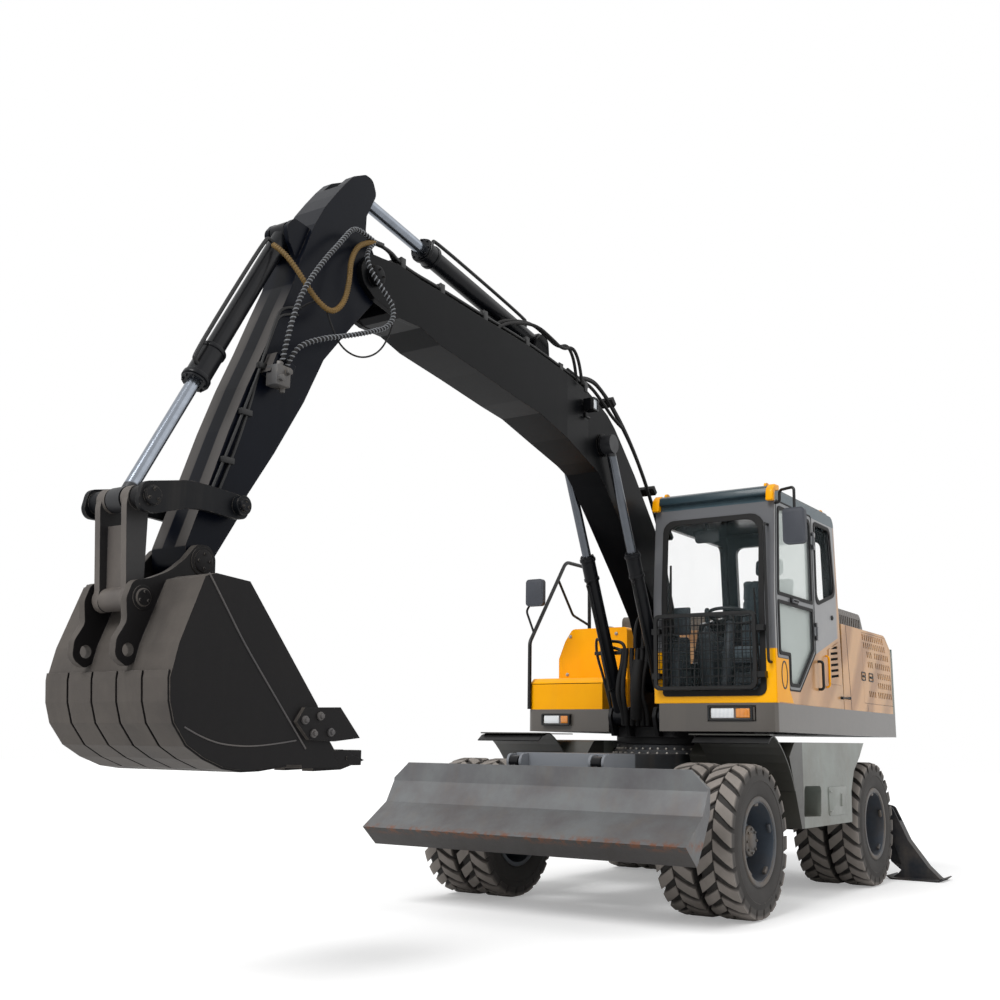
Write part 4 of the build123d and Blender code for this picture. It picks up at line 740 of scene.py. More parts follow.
def armFrontDustAndSunlight(add):
    # the upper plate of the arm painted lighter, for its dust and as painted sunlight, leaving a dark band
    # of painted shadow where the cylinder shades it
    clear = acrossMask(add, objectPlace(add), 0.040, 0.048)
    plate = facingMask(add, (0.874, 0, 0.486), 0.90, 0.96)
    return product(add, plate, clear, positionMask(add, "Z", 3.55, 3.35), 0.85)


def coverRear(add):
    return product(add, positionMask(add, "X", -1.955, -1.985), 0.85)


def boxFront(add):
    return product(add, positionMask(add, "X", 0.47, 0.475), 0.9)


def frontPlate(add):
    return product(add, positionMask(add, "X", 1.50, 1.52), positionMask(add, "Z", 0.90, 0.95), 0.85)


def lowFacesShade(add):
    # painted shade: faces of the blade that turn downwards are darkened
    return product(add, facingMask(add, (0, 0, -1), 0.25, 0.45), 0.8)


def rustyEdge(add):
    spots = ramp(add, mottling(add, 16.0, 6.0, 0.7), 0.47, 0.60)
    return product(add, spots, positionMask(add, "Z", 0.580, 0.552), positionMask(add, "Z", 0.500, 0.540),
                   0.8)


for paintName, second, zone in (("bucketPaint", "0b0b0e", sideFacesShade), ("linkPaint", "0e0e11", sideFacesShade),
                                ("armPaint", "54514f", armFrontDustAndSunlight), ("coverPaint", "3e5c58", coverRear),
                                ("boxPaint", "26241f", boxFront), ("chassisPaint", "8a8e94", frontPlate),
                                ("bladePaint", "2f2a27", lowFacesShade), ("bladePaint", "7a4522", rustyEdge)):
    addZone(materials[paintName], tint(second), zone)

# Finish of each node of the frame
nodeFinish = {"chassis": "chassisPaint", "side_boxes": "boxPaint", "axles": "axlePaint",
              "left_knuckle": "axlePaint", "right_knuckle": "axlePaint", "front_left_tyres": "tyreRubber",
              "front_right_tyres": "tyreRubber", "rear_left_tyres": "tyreRubber",
              "rear_right_tyres": "tyreRubber", "front_left_rims": "rimPaint",
              "front_right_rims": "rimPaint", "rear_left_rims": "rimPaint", "rear_right_rims": "rimPaint",
              "blade": "bladePaint", "blade_barrels": "barrelPaint", "blade_rods": "rodChrome",
              "left_stand": "standPaint", "right_stand": "standPaint", "left_stand_barrel": "barrelPaint",
              "right_stand_barrel": "barrelPaint", "left_stand_rod": "rodChrome",
              "right_stand_rod": "rodChrome", "upper_frame": "framePaint", "skirt": "skirtPaint",
              "cab": "cabPaint", "cab_door": "doorPaint", "cab_glass": "cabGlass",
              "door_glass": "doorGlassPaleReflection", "cab_interior": "plasticGrey", "rails": "blackPaint",
              "engine_cover": "coverPaint", "hood_lid": "lidPaint", "counterweight": "weightPaint",
              "right_tank": "yellowPaint", "boom": "boomPaint", "boom_barrels": "barrelPaint",
              "boom_rods": "boomRodPaint", "arm": "armPaint", "arm_barrel": "barrelPaint",
              "arm_rod": "armRodPaint", "bucket": "bucketPaint", "bucket_barrel": "barrelPaint",
              "bucket_rod": "bucketRodPaint", "rocker": "leverPaint", "bucket_link": "linkPaint", }
for nodeName, finishName in nodeFinish.items():
    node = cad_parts[nodeName]
    for place in node.material_slots:
        place.material = materials[finishName]
print("frame painted")


# Tyres: a spun carcass with two rows of chevron blocks
tyre = dict(radius=0.514, width=0.256, gap=0.042, outside=1.250, rim=0.276, lugs=24, lugDepth=0.026,
            frontX=1.362, rearX=-1.258, axleZ=0.514)


def markTread(piece, value):
    layer = piece.data.attributes.get("tread") or piece.data.attributes.new("tread", "FLOAT", "POINT")
    for index in range(len(piece.data.vertices)):
        layer.data[index].value = value(piece.data.vertices[index]) if callable(value) else value


def lugAt(x, middle, side):
    # one lug: a slanted block whose shoulder steps down the sidewall
    r, half, z = tyre["radius"], tyre["width"] / 2, tyre["axleZ"]
    floor, pitch = r - tyre["lugDepth"], math.tau / tyre["lugs"]
    shift = 0 if side > 0 else 0.5
    size = 0.05
    clearSelection()
    bpy.ops.mesh.primitive_cube_add(size=size, location=(0, 0, 0))
    lug = settle(bpy.context.object)
    editing(lug)
    bpy.ops.mesh.subdivide(number_cuts=2)
    editing(lug, False)
    for corner in lug.data.vertices:
        # shares of the way round, outwards and up
        t, u, w = (value / size + 0.5 for value in corner.co)
        if side < 0:
            u = 1 - u
        y = 0.004 + u * (half - 0.006)
        if u > 0.9 and w < 0.1:
            y -= 0.004
        span = (0.60 + 0.12 * u) * pitch * (0.93 if w > 0.9 else 1.0)
        angle = (shift + 0.75 * u) * pitch + (t - 0.5) * span
        top = r - 0.010 * max(0.0, u - 0.75) / 0.25
        bottom = floor - 0.02 - 0.055 * max(0.0, u - 0.6) / 0.4
        radius = bottom + (top - bottom) * w
        corner.co = spot(x + radius * math.sin(angle), middle + side * y, z + radius * math.cos(angle))
    markTread(lug, lambda corner: 1.0 if (corner.co - spot(x, corner.co.y, z)).length > r - 0.013 else 0.2)
    editing(lug)
    bpy.ops.mesh.normals_make_consistent(inside=False)
    editing(lug, False)
    return lug


def tyreAt(x, middle):
    half, rim, z = tyre["width"] / 2, tyre["rim"], tyre["axleZ"]
    floor = tyre["radius"] - tyre["lugDepth"]
    # one sidewall, as distances in from the tyre's side, then the tread and the other sidewall
    wall = [(0.030, rim - 0.002), (0.012, rim + 0.016), (0.001, rim + 0.050), (-0.004, 0.375),
            (-0.003, 0.400), (-0.007, 0.404), (-0.005, 0.412), (0.002, 0.440), (0.014, 0.470),
            (0.034, floor - 0.004)]
    section = [(inset - half, q) for inset, q in wall] + [(-0.05, floor + 0.002), (0.05, floor + 0.002)]
    section += [(half - inset, q) for inset, q in reversed(wall)]
    carcass = spunAt([(middle + y, q) for y, q in section], x, z, steps=72, closed=True)
    smoothed(carcass, 50)
    markTread(carcass, 0.12)
    rows = [spinCopies(lugAt(x, middle, side), tyre["lugs"], spot(x, 0, z), (0, 1, 0)) for side in (1, -1)]
    return together("tyre", [carcass] + rows)


def tyrePair(x):
    first = tyreAt(x, tyre["outside"] - tyre["width"] / 2)
    second = twin(first, (0, -(tyre["width"] + tyre["gap"]), 0))
    return together("tyres", [first, second])


leftFront = tyrePair(tyre["frontX"])
corners = {
    "front_left": leftFront,
    "front_right": twin(leftFront, flipY=True),
    "rear_left": twin(leftFront, (tyre["rearX"] - tyre["frontX"], 0, 0)),
    "rear_right": twin(leftFront, (tyre["rearX"] - tyre["frontX"], 0, 0), flipY=True),
}
for corner, piece in corners.items():
    piece.name = corner + "_tread"
    dress(piece, corner + "_wheel", materials["tyreRubber"], [corner + "_tyres"], smooth=40)
print("tyres made")


# Hoses that hang between the boom and the arm, each by the points of its route
hoses = {
    "upper_hose": dict(radius=0.0115, wrap=0.0038, pitch=0.026, tube="rubber", finish="hoseGrey",
        length=1.34, points=[
        (4.300, 0.172, 3.992), (4.410, 0.185, 4.002), (4.545, 0.200, 4.000), (4.666, 0.220, 3.856),
        (4.804, 0.235, 3.700), (4.951, 0.240, 3.492), (5.020, 0.235, 3.311), (5.040, 0.215, 3.161),
        (5.046, 0.197, 3.060)]),
    "lower_hose": dict(radius=0.0115, wrap=0.0038, pitch=0.026, tube="rubber", finish="hoseGrey",
        length=1.49, points=[
        (4.330, 0.178, 3.990), (4.430, 0.195, 3.900), (4.440, 0.240, 3.771), (4.350, 0.270, 3.672),
        (4.262, 0.292, 3.575), (4.320, 0.305, 3.450), (4.477, 0.300, 3.372), (4.654, 0.290, 3.297),
        (4.835, 0.270, 3.232), (4.968, 0.240, 3.160), (5.006, 0.213, 3.080), (5.012, 0.197, 3.040)]),
    "cylinder_hose": dict(radius=0.013, wrap=0.0030, pitch=0.016, tube="hoseYellow", finish="hoseYellow",
        length=1.23, points=[
        (4.340, 0.180, 3.985), (4.480, 0.200, 3.930), (4.580, 0.220, 3.790), (4.598, 0.235, 3.650),
        (4.640, 0.242, 3.500), (4.735, 0.242, 3.410), (4.830, 0.232, 3.440), (4.902, 0.220, 3.500),
        (4.956, 0.200, 3.570), (4.995, 0.165, 3.640), (5.015, 0.125, 3.690), (5.025, 0.085, 3.725),
        (5.020, 0.058, 3.742)]),
    "thin_hose": dict(radius=0.0052, wrap=0, pitch=0, tube="rubber", finish="rubber",
        length=1.11, points=[
        (4.245, 0.262, 3.640), (4.262, 0.285, 3.540), (4.300, 0.295, 3.420), (4.400, 0.300, 3.270),
        (4.560, 0.300, 3.190), (4.700, 0.285, 3.215), (4.752, 0.252, 3.337), (4.770, 0.222, 3.450),
        (4.830, 0.195, 3.470), (4.862, 0.122, 3.420)]),
}


def routeOf(curve):
    mesh = bpy.data.meshes.new_from_object(curve)
    places = [corner.co.copy() for corner in mesh.vertices]
    bpy.data.meshes.remove(mesh)
    return places


def coilRound(name, points, radius, wire, pitch):
    # a helix of thin wire round the line of a hose
    guide = wireCurve(name, points, 0)
    guide.data.use_fill_caps = False
    guide.data.resolution_u = 24
    places = routeOf(guide)
    bpy.data.objects.remove(guide)
    steps = [0.0]
    for here, there in zip(places, places[1:]):
        steps.append(steps[-1] + (there - here).length)
    turns = steps[-1] / pitch
    count = int(turns * 7)
    side = Vector((0, 1, 0))
    knots = []
    index = 0
    for i in range(count + 1):
        along = steps[-1] * i / count
        while index < len(steps) - 2 and steps[index + 1] < along:
            index += 1
        here, there = places[index], places[index + 1]
        share = (along - steps[index]) / max(1e-9, steps[index + 1] - steps[index])
        way = (there - here).normalized()
        side = (side - way * side.dot(way)).normalized()
        turn = math.tau * turns * i / count
        knots.append(here.lerp(there,
                               share) + (side * math.cos(turn) + way.cross(side) * math.sin(turn)) * radius)
    curve = bpy.data.curves.new(name, "CURVE")
    curve.dimensions = "3D"
    curve.bevel_depth = wire
    curve.bevel_resolution = 1
    spline = curve.splines.new("POLY")
    spline.points.add(len(knots) - 1)
    for knot, place in zip(spline.points, knots):
        knot.co = (*place, 1)
    piece = bpy.data.objects.new(name, curve)
    bpy.context.scene.collection.objects.link(piece)
    pick(piece)
    bpy.ops.object.convert(target="MESH")
    return bpy.context.object


for hoseName, hose in hoses.items():
    line = wireCurve(hoseName, hose["points"], hose["radius"])
    dress(line, "main_boom", materials[hose["tube"]])
    wraps = []
    if hose["wrap"]:
        wrap = coilRound(hoseName + "_wrap", hose["points"], hose["radius"] + 0.001, hose["wrap"],
                         hose["pitch"])
        wraps = [dress(wrap, "main_boom", materials[hose["finish"]], smooth=60)]
    tuple(spot(*hose["points"][0]))


# Steel pipes along the boom, each with its height over the boom's back, and their clamps
boomBack = [(4.06, 3.948), (3.93, 3.924), (3.67, 3.919), (3.23, 3.894), (2.642, 3.869), (2.348, 3.838),
            (2.1, 3.806), (1.755, 3.762)]
boomPipe = dict(radius=0.012, row=0.092, portY=0.172, clampX=(4.02, 3.62, 3.14, 2.62, 2.16, 1.80))
pipes = []
for y, start, lift in ((0.128, 4.33, 0.040), (0.092, 4.30, 0.050), (0.056, 4.02, 0.040),
                       (-0.056, 4.02, 0.040), (-0.092, 4.30, 0.050), (-0.128, 4.33, 0.040)):
    side = 1 if y > 0 else -1
    route = [(start, side * boomPipe["portY"], 3.995), (4.18, side * 0.165, 4.000)] if start > 4.1 else []
    route += [(x, y, z + lift) for x, z in boomBack]
    pipes.append(tubeAt(route, boomPipe["radius"]))
for x in boomPipe["clampX"]:
    near = min(boomBack, key=lambda p: abs(p[0] - x))[1]
    for side in (1, -1):
        row = side * boomPipe["row"]
        pipes.append(blockAt((x - 0.022, x + 0.022), (row - 0.055, row + 0.055),
                             (near - 0.012, near + 0.068), 0.004))
        for k in (-0.033, 0.033):
            pipes.append(barAt((x, row + k, near + 0.06), (x, row + k, near + 0.078), 0.008, 6, 0.001))
for y in (boomPipe["portY"], -boomPipe["portY"]):
    for k in (0, 0.055):
        pipes.append(barAt((4.31 - k, y, 3.994 + k * 0.1), (4.38 - k, y, 3.988 + k * 0.1), 0.019, 6, 0.002))
fit("boom_pipes", pipes, "main_boom", "blackPaint")

# Hoses that arch over the boom's bend and down its back
bends = [
    [(2.05, 0.128, 3.862), (1.86, 0.125, 3.835), (1.70, 0.125, 3.825), (1.52, 0.125, 3.750),
     (1.345, 0.135, 3.640), (1.240, 0.160, 3.590)],
    [(1.86, 0.092, 3.850), (1.66, 0.10, 3.900), (1.46, 0.11, 3.830), (1.22, 0.115, 3.660),
     (0.99, 0.115, 3.480), (0.77, 0.115, 3.235), (0.60, 0.115, 2.99), (0.42, 0.115, 2.71)],
    [(1.86, 0.056, 3.850), (1.62, 0.06, 3.950), (1.36, 0.07, 3.850), (1.12, 0.075, 3.690),
     (0.90, 0.075, 3.500), (0.68, 0.075, 3.255), (0.50, 0.075, 2.99), (0.34, 0.075, 2.71)],
    [(1.86, -0.056, 3.850), (1.62, -0.06, 3.940), (1.36, -0.06, 3.850), (1.12, -0.065, 3.690),
     (0.90, -0.065, 3.500), (0.68, -0.065, 3.255), (0.50, -0.065, 2.99), (0.34, -0.065, 2.71)],
    [(1.86, -0.092, 3.850), (1.66, -0.10, 3.880), (1.46, -0.11, 3.800), (1.22, -0.115, 3.640),
     (0.99, -0.115, 3.470), (0.77, -0.115, 3.235), (0.60, -0.115, 2.99), (0.42, -0.115, 2.71)],
]
arches = [tubeAt(route, 0.013) for route in bends]
for x, z in ((1.46, 3.668), (0.80, 3.045), (0.50, 2.715)):
    reach = 0.14 if x < 1.2 else 0.10
    arches.append(plateAt([(x - 0.03, z - 0.03), (x + 0.03, z + 0.03), (x + 0.03 - reach, z + 0.03 + reach),
                           (x - 0.03 - reach, z - 0.03 + reach)], -0.012, 0.012))
    arches.append(plateAt([(x + 0.03 - reach, z + 0.03 + reach), (x - 0.02 - reach, z - 0.02 + reach),
                           (x - 0.05 - reach, z + 0.01 + reach), (x - reach, z + 0.06 + reach)], -0.14,
                          0.14))
fit("boom_hoses", arches, "main_boom", "rubber", smooth=50)

# Two pipes on the near side of the arm, and their clamps
armPipes = []
for shift in (0, 0.045):
    armPipes.append(tubeAt([(4.862 + shift * 0.4, 0.128, 3.420 - shift),
                            (5.000 + shift * 0.4, 0.134, 3.390 - shift),
                            (5.045 + shift * 0.2, 0.134, 3.300 - shift), (5.130 + shift * 0.1, 0.132, 3.02),
                            (5.215 - shift * 0.6, 0.132, 2.80), (5.33 - shift, 0.132, 2.50),
                            (5.40 - shift, 0.130, 2.33)], 0.008))
for x, z in ((5.13, 3.02), (5.235, 2.75), (5.335, 2.48)):
    armPipes.append(blockAt((x - 0.055, x + 0.02), (0.114, 0.146), (z - 0.016, z + 0.016), 0.003))
fit("arm_pipes", armPipes, "dipper", "blackPaint")
print("hoses made")


# Cab: gaskets, roof, lamps and the front guard
def ringAt(outer, inner, low, high, plane="xz"):
    # a flat frame: the outer plate with its middle faces inset and bridged through
    place, across = planes[plane]
    piece = tracedChain([place(u, v, low) for u, v in outer], closed=True)
    editing(piece, False)
    hole = tracedChain([place(u, v, low) for u, v in inner], closed=True)
    editing(hole, False)
    for thing in (piece, hole):
        editing(thing)
        bpy.ops.mesh.delete(type="ONLY_FACE")
        editing(thing, False)
    piece = together("ring", [piece, hole])
    editing(piece)
    bpy.ops.mesh.bridge_edge_loops()
    bpy.ops.mesh.select_all(action="SELECT")
    bpy.ops.mesh.extrude_region_move(TRANSFORM_OT_translate={"value": across * (high - low)})
    bpy.ops.mesh.select_all(action="SELECT")
    bpy.ops.mesh.normals_make_consistent(inside=False)
    editing(piece, False)
    return settle(piece)


def rounded(points, radius, steps=4):
    # the outline with each corner turned on an arc
    made = []
    count = len(points)
    for i, here in enumerate(points):
        before, after = points[i - 1], points[(i + 1) % count]
        a = Vector((before[0] - here[0], before[1] - here[1])).normalized()
        b = Vector((after[0] - here[0], after[1] - here[1])).normalized()
        half = a.angle(b) / 2
        r = here[2] if len(here) > 2 else radius
        centre = Vector(here[:2]) + (a + b).normalized() * (r / math.sin(half))
        first = Vector(here[:2]) + a * (r / math.tan(half)) - centre
        last = Vector(here[:2]) + b * (r / math.tan(half)) - centre
        turn = first.angle_signed(last)
        for k in range(steps + 1):
            angle = -turn * k / steps
            made.append((centre.x + first.x * math.cos(angle) - first.y * math.sin(angle),
                         centre.y + first.x * math.sin(angle) + first.y * math.cos(angle)))
    return made


def square(u0, u1, v0, v1):
    return [(u0, v0), (u1, v0), (u1, v1), (u0, v1)]


def oval(x, z, wide, high, count, start=0.0):
    turns = [start + math.tau * k / count for k in range(count)]
    return [(x + wide * math.cos(turn), z + high * math.sin(turn)) for turn in turns]


def inward(points, amount):
    # the outline moved in by an amount
    count = len(points)
    area = sum(points[i - 1][0] * points[i][1] - points[i][0] * points[i - 1][1] for i in range(count))
    turn = 1 if area > 0 else -1
    made = []
    for i in range(count):
        a, b, c = Vector(points[i - 1][:2]), Vector(points[i][:2]), Vector(points[(i + 1) % count][:2])
        n1 = Vector((-(b - a).y, (b - a).x)).normalized() * turn
        n2 = Vector((-(c - b).y, (c - b).x)).normalized() * turn
        mid = (n1 + n2) / max(0.3, 1 + n1.dot(n2))
        made.append((b.x + mid.x * amount, b.y + mid.y * amount) + tuple(points[i][2:]))
    return made


def frameAt(sides, wall, radii, low, high, plane="xz"):
    # a rectangular frame with its wall measured inwards
    u0, u1, v0, v1 = sides
    across, up = wall
    outer = rounded(square(u0, u1, v0, v1), radii[0])
    inner = rounded(square(u0 + across, u1 - across, v0 + up, v1 - up), radii[1])
    return ringAt(outer, inner, low, high, plane)


cab = dict(front=0.950, sill=2.250, top=3.054, roofFront=0.878)
windscreen = [(0.355, 1.530, 0.030), (1.150, 1.530, 0.060), (1.150, 2.860, 0.110), (0.355, 2.860, 0.090)]


def frontX(z):
    lean = (cab["front"] - cab["roofFront"]) / (cab["top"] - cab["sill"])
    return cab["front"] - max(0.0, z - cab["sill"]) * lean


def leanOnFront(piece, away):
    # set a flat piece made at x 0 against the cab's front, which leans back above the sill
    for corner in piece.data.vertices:
        corner.co.x += frontX(corner.co.z) + away
    piece.data.update()
    return piece


def splitAtSill(piece):
    editing(piece)
    bpy.ops.mesh.bisect(plane_co=spot(0, 0, cab["sill"]), plane_no=(0, 0, 1))
    editing(piece, False)
    return piece


outer = rounded(inward(windscreen, -0.020), 0.05)
inner = rounded(inward(windscreen, 0.022), 0.05)
gasket = leanOnFront(splitAtSill(ringAt(outer, inner, -0.004, 0.008, "yz")), 0.0)
seals = [gasket]
doorUpper = [(0.864, 2.264, 0.015), (0.816, 2.930, 0.045), (0.126, 2.930, 0.045), (0.130, 2.264, 0.015)]
doorLower = [(0.866, 2.210, 0.015), (0.866, 1.822, 0.025), (0.662, 1.822, 0.020), (0.662, 1.596, 0.025),
             (0.484, 1.596, 0.025), (0.130, 1.894, 0.025), (0.130, 2.210, 0.015)]
sideWindow = [(0.034, 2.266, 0.060), (0.024, 2.934, 0.050), (-0.352, 2.934, 0.060), (-0.425, 2.390, 0.080)]
seals.append(ringAt(rounded(inward(sideWindow, -0.012), 0.03), rounded(inward(sideWindow, 0.016), 0.03),
                    1.243, 1.252))
fit("cab_gaskets", seals, "house", "rubber")
doorSeals = [ringAt(rounded(inward(w, -0.010), 0.02), rounded(inward(w, 0.016), 0.02), 1.243, 1.251)
             for w in (doorUpper, doorLower)]
doorSeals.append(blockAt((0.468, 0.615), (1.246, 1.256), (2.212, 2.262), 0.004))
doorSeals.append(barAt((0.492, 1.262, 2.237), (0.588, 1.262, 2.237), 0.011, 12))
fit("door_gaskets", doorSeals, "door", "rubber")

# black edge round the door opening
doorOut = [(0.905, 1.790, 0.02), (0.905, 2.240, 0.02), (0.850, 2.968, 0.030), (0.086, 2.968, 0.030),
           (0.092, 1.878, 0.02), (0.470, 1.566, 0.040), (0.690, 1.566, 0.030), (0.690, 1.790, 0.02)]
seam = ringAt(rounded(inward(doorOut, -0.012), 0.02), rounded(inward(doorOut, 0.000), 0.02), 1.2445, 1.2475)
dress(seam, "house", materials["rubber"])

# roof: a capping, yellow front corners and the lifting eyes
roof = plateAt([(0.930, 3.010), (0.915, 3.068), (0.860, 3.092), (-0.430, 3.092), (-0.500, 3.062),
                (-0.508, 3.000), (-0.480, 3.000), (-0.440, 3.030), (0.860, 3.030), (0.884, 3.000)], 0.300,
               1.208, edge=0.012, steps=3)
fit("roof_cap", [roof], "house", "roofPaint")
trims = []
for low, high in ((0.252, 0.312), (1.198, 1.256)):
    trims.append(plateAt([(0.944, 2.960), (0.930, 3.052), (0.880, 3.094), (0.790, 3.100), (0.790, 3.058),
                          (0.862, 3.050), (0.884, 3.020), (0.894, 2.960)], low, high, edge=0.010, steps=3))
for x, y in ((0.820, 0.332), (0.820, 1.166), (-0.400, 0.332), (-0.400, 1.166)):
    eyeHole = oval(x, 3.080, 0.0165, 0.0165, 20, start=4.0)
    trims.append(ringAt(rounded(square(x - 0.034, x + 0.034, 3.050, 3.118), 0.024), eyeHole, y - 0.009,
                        y + 0.009))
    trims.append(blockAt((x - 0.045, x + 0.045), (y - 0.022, y + 0.022), (3.050, 3.062), 0.004))
fit("roof_corners", trims, "house", "yellowPaint")

# yellow edge down the side of the nose, under the door
foot = plateAt([(0.954, 1.466), (0.954, 1.850), (0.913, 1.786), (0.698, 1.786), (0.698, 1.562),
                (0.620, 1.466)], 1.2462, 1.2495, edge=0.001, steps=1)
dress(foot, "house", materials["yellowPaint"])

# headlamps in the skirt, each with a shell, a white and an amber glass
def lampSet(x, y0, y1, z0, z1, split):
    shell = frameAt((y0, y1, z0, z1), (0.014, 0.010), (0.014, 0.010), x - 0.02, x + 0.012, "yz")
    white = blockAt((x - 0.02, x + 0.004), (y0 + 0.022, split - 0.008), (z0 + 0.016, z1 - 0.016), 0.006, 3)
    amber = blockAt((x - 0.02, x + 0.004), (split + 0.008, y1 - 0.022), (z0 + 0.018, z1 - 0.018), 0.006, 3)
    return shell, white, amber


lampSides = [lampSet(0.950, 0.704, 1.055, 1.332, 1.438, 0.915),
             lampSet(0.466, -1.060, -0.780, 1.300, 1.400, -0.880)]
lampShells, lampWhites, lampAmbers = zip(*lampSides)
fit("lamp_shells", lampShells, "house", "plasticDark")
fit("lamp_whites", lampWhites, "house", "lampWhite")
fit("lamp_ambers", lampAmbers, "house", "lampAmber")

# front guard: bent frame, close mesh and side brackets
guard = dict(x=0.992, left=1.110, right=0.300, low=1.566, high=2.120, frame=0.013, wire=0.0026,
             uprightGap=0.032, levelGap=0.054)
outline = rounded(square(guard["right"], guard["left"], guard["low"], guard["high"]), 0.055, 6)
loop = [(guard["x"] + 0.010, y, z) for y, z in outline]
bars = [tubeAt(loop + loop[:2], guard["frame"])]
y = guard["right"] + 0.032
while y < guard["left"] - 0.02:
    top, bottom = guard["high"] - 0.006, guard["low"] + 0.006
    bars.append(barAt((guard["x"] + 0.006, y, bottom), (guard["x"] + 0.006, y, top), guard["wire"], 6,
                      0.0005))
    y += guard["uprightGap"]
z = guard["low"] + 0.039
while z < guard["high"] - 0.02:
    near, far = guard["right"] + 0.006, guard["left"] - 0.006
    bars.append(barAt((guard["x"], near, z), (guard["x"], far, z), guard["wire"], 6, 0.0005))
    z += guard["levelGap"]
for y in (0.288, 1.118):
    for z in (1.655, 1.995):
        bars.append(blockAt((0.950, guard["x"] + 0.012), (y - 0.022, y + 0.022), (z - 0.015, z + 0.015),
                            0.004))
        bars.append(barAt((0.970, y, z - 0.028), (0.970, y, z + 0.028), 0.012, 12))
fit("guard_mesh", bars, "house", "blackPaint")

# wiper arm and its blade
wiper = [tubeAt([(0.955, 1.128, 1.640), (0.972, 1.120, 1.80), (0.968, 1.102, 2.20), (0.962, 1.096, 2.30)],
                0.007), plateAt([(0.400, 1.95), (0.424, 1.95), (0.420, 2.52), (0.404, 2.52)], 0.0, 0.008,
                                "yz", 0.002)]
leanOnFront(wiper[1], 0.012)
fit("wiper", wiper, "house", "rubber")
print("cab dressed")


# Wheels: rim lips, hub plates and their bolts, made for one corner and set at the rest
def rimDress(x, hubOut):
    z, out = tyre["axleZ"], 1.246
    lip = spunAt([(out - 0.012, 0.262), (out + 0.001, 0.266), (out + 0.004, 0.276), (out + 0.004, 0.292),
                  (out - 0.004, 0.299), (out - 0.014, 0.297), (out - 0.016, 0.280)], x, z, 72, closed=True)
    plate = spunAt([(hubOut - 0.004, 0.0), (hubOut + 0.020, 0.0), (hubOut + 0.022, 0.036),
                    (hubOut + 0.016, 0.052), (hubOut + 0.008, 0.060), (hubOut + 0.007, 0.092),
                    (hubOut + 0.001, 0.100), (hubOut - 0.012, 0.104)], x, z, 48)
    parts = [lip, plate]
    bolt = barAt((x, hubOut - 0.002, z + 0.078), (x, hubOut + 0.019, z + 0.078), 0.010, 6, 0.002)
    parts.append(spinCopies(bolt, 8, spot(x, 0, z), (0, 1, 0)))
    nut = barAt((x, 0.998, z + 0.205), (x, 1.034, z + 0.205), 0.016, 6, 0.003)
    parts.append(spinCopies(nut, 10, spot(x, 0, z), (0, 1, 0)))
    clamp = blockAt((x - 0.030, x + 0.030), (out - 0.040, out - 0.014), (z + 0.232, z + 0.264), 0.006)
    parts.append(spinCopies(clamp, 5, spot(x, 0, z), (0, 1, 0)))
    valve = barAt((x + 0.05, 1.06, z - 0.235), (x + 0.055, 1.13, z - 0.215), 0.005, 10, 0.001)
    parts.append(valve)
    return together("rim", parts)


frontRim = rimDress(tyre["frontX"], 1.178)
rearRim = rimDress(tyre["rearX"], 1.090)
for corner, piece in (("front_right", twin(frontRim, flipY=True)),
                      ("rear_right", twin(rearRim, flipY=True)), ("front_left", frontRim),
                      ("rear_left", rearRim)):
    piece.name = corner + "_rim_parts"
    dress(piece, corner + "_wheel", materials["rimParts"])

# Slewing ring bolts
ringBolts = []
for radius, z, count in ((0.498, 1.118, 48), (0.540, 1.082, 44)):
    bolt = barAt((radius, 0, z), (radius + 0.022, 0, z), 0.0105, 6, 0.002)
    ringBolts.append(spinCopies(bolt, count, spot(0, 0, z), (0, 0, 1)))
fit("slew_bolts", ringBolts, "undercarriage", "zincPlate")

# Chassis boxes: a door with hinges and a latch
sideY = 1.2455
door = plateAt(rounded(square(-0.513, -0.076, 0.625, 0.845), 0.02), sideY - 0.004, sideY + 0.006,
               edge=0.002)
latch = blockAt((-0.415, -0.362), (sideY, sideY + 0.012), (0.690, 0.790), 0.004)
hinges = [barAt((-0.140, sideY + 0.006, z), (-0.090, sideY + 0.006, z), 0.009, 12) for z in (0.66, 0.81)]
boxDoor = together("box_door", [door, latch] + hinges)
boxParts = [boxDoor, twin(boxDoor, flipY=True)]
fit("box_doors", boxParts, "undercarriage", "boxPaint")
print("wheels and chassis dressed")

# Bucket: welds and cutter bolts
bucketParts = []
plateY = 0.4262
weldLine = [(5.649, 1.860), (5.530, 1.712), (5.417, 1.568), (5.200, 1.335), (4.980, 1.100)]
curvedLine = [(5.733, 1.187), (5.600, 1.128), (5.403, 1.106), (5.210, 1.116), (5.048, 1.138)]
for y in (plateY, -plateY):
    for line, r in ((weldLine, 0.0045), (curvedLine, 0.0035)):
        bucketParts.append(tubeAt([(x, y, z) for x, z in line], r))
    for x, z in ((4.912, 1.255), (5.018, 1.234), (4.955, 1.172), (4.833, 1.180)):
        s = 1 if y > 0 else -1
        bucketParts.append(barAt((x, s * 0.440, z), (x, s * 0.4575, z), 0.021, 24, 0.003))
        bucketParts.append(barAt((x, s * 0.440, z), (x, s * 0.470, z), 0.014, 6, 0.003))
fit("bucket_welds", bucketParts, "digging_bucket", "weldBead")

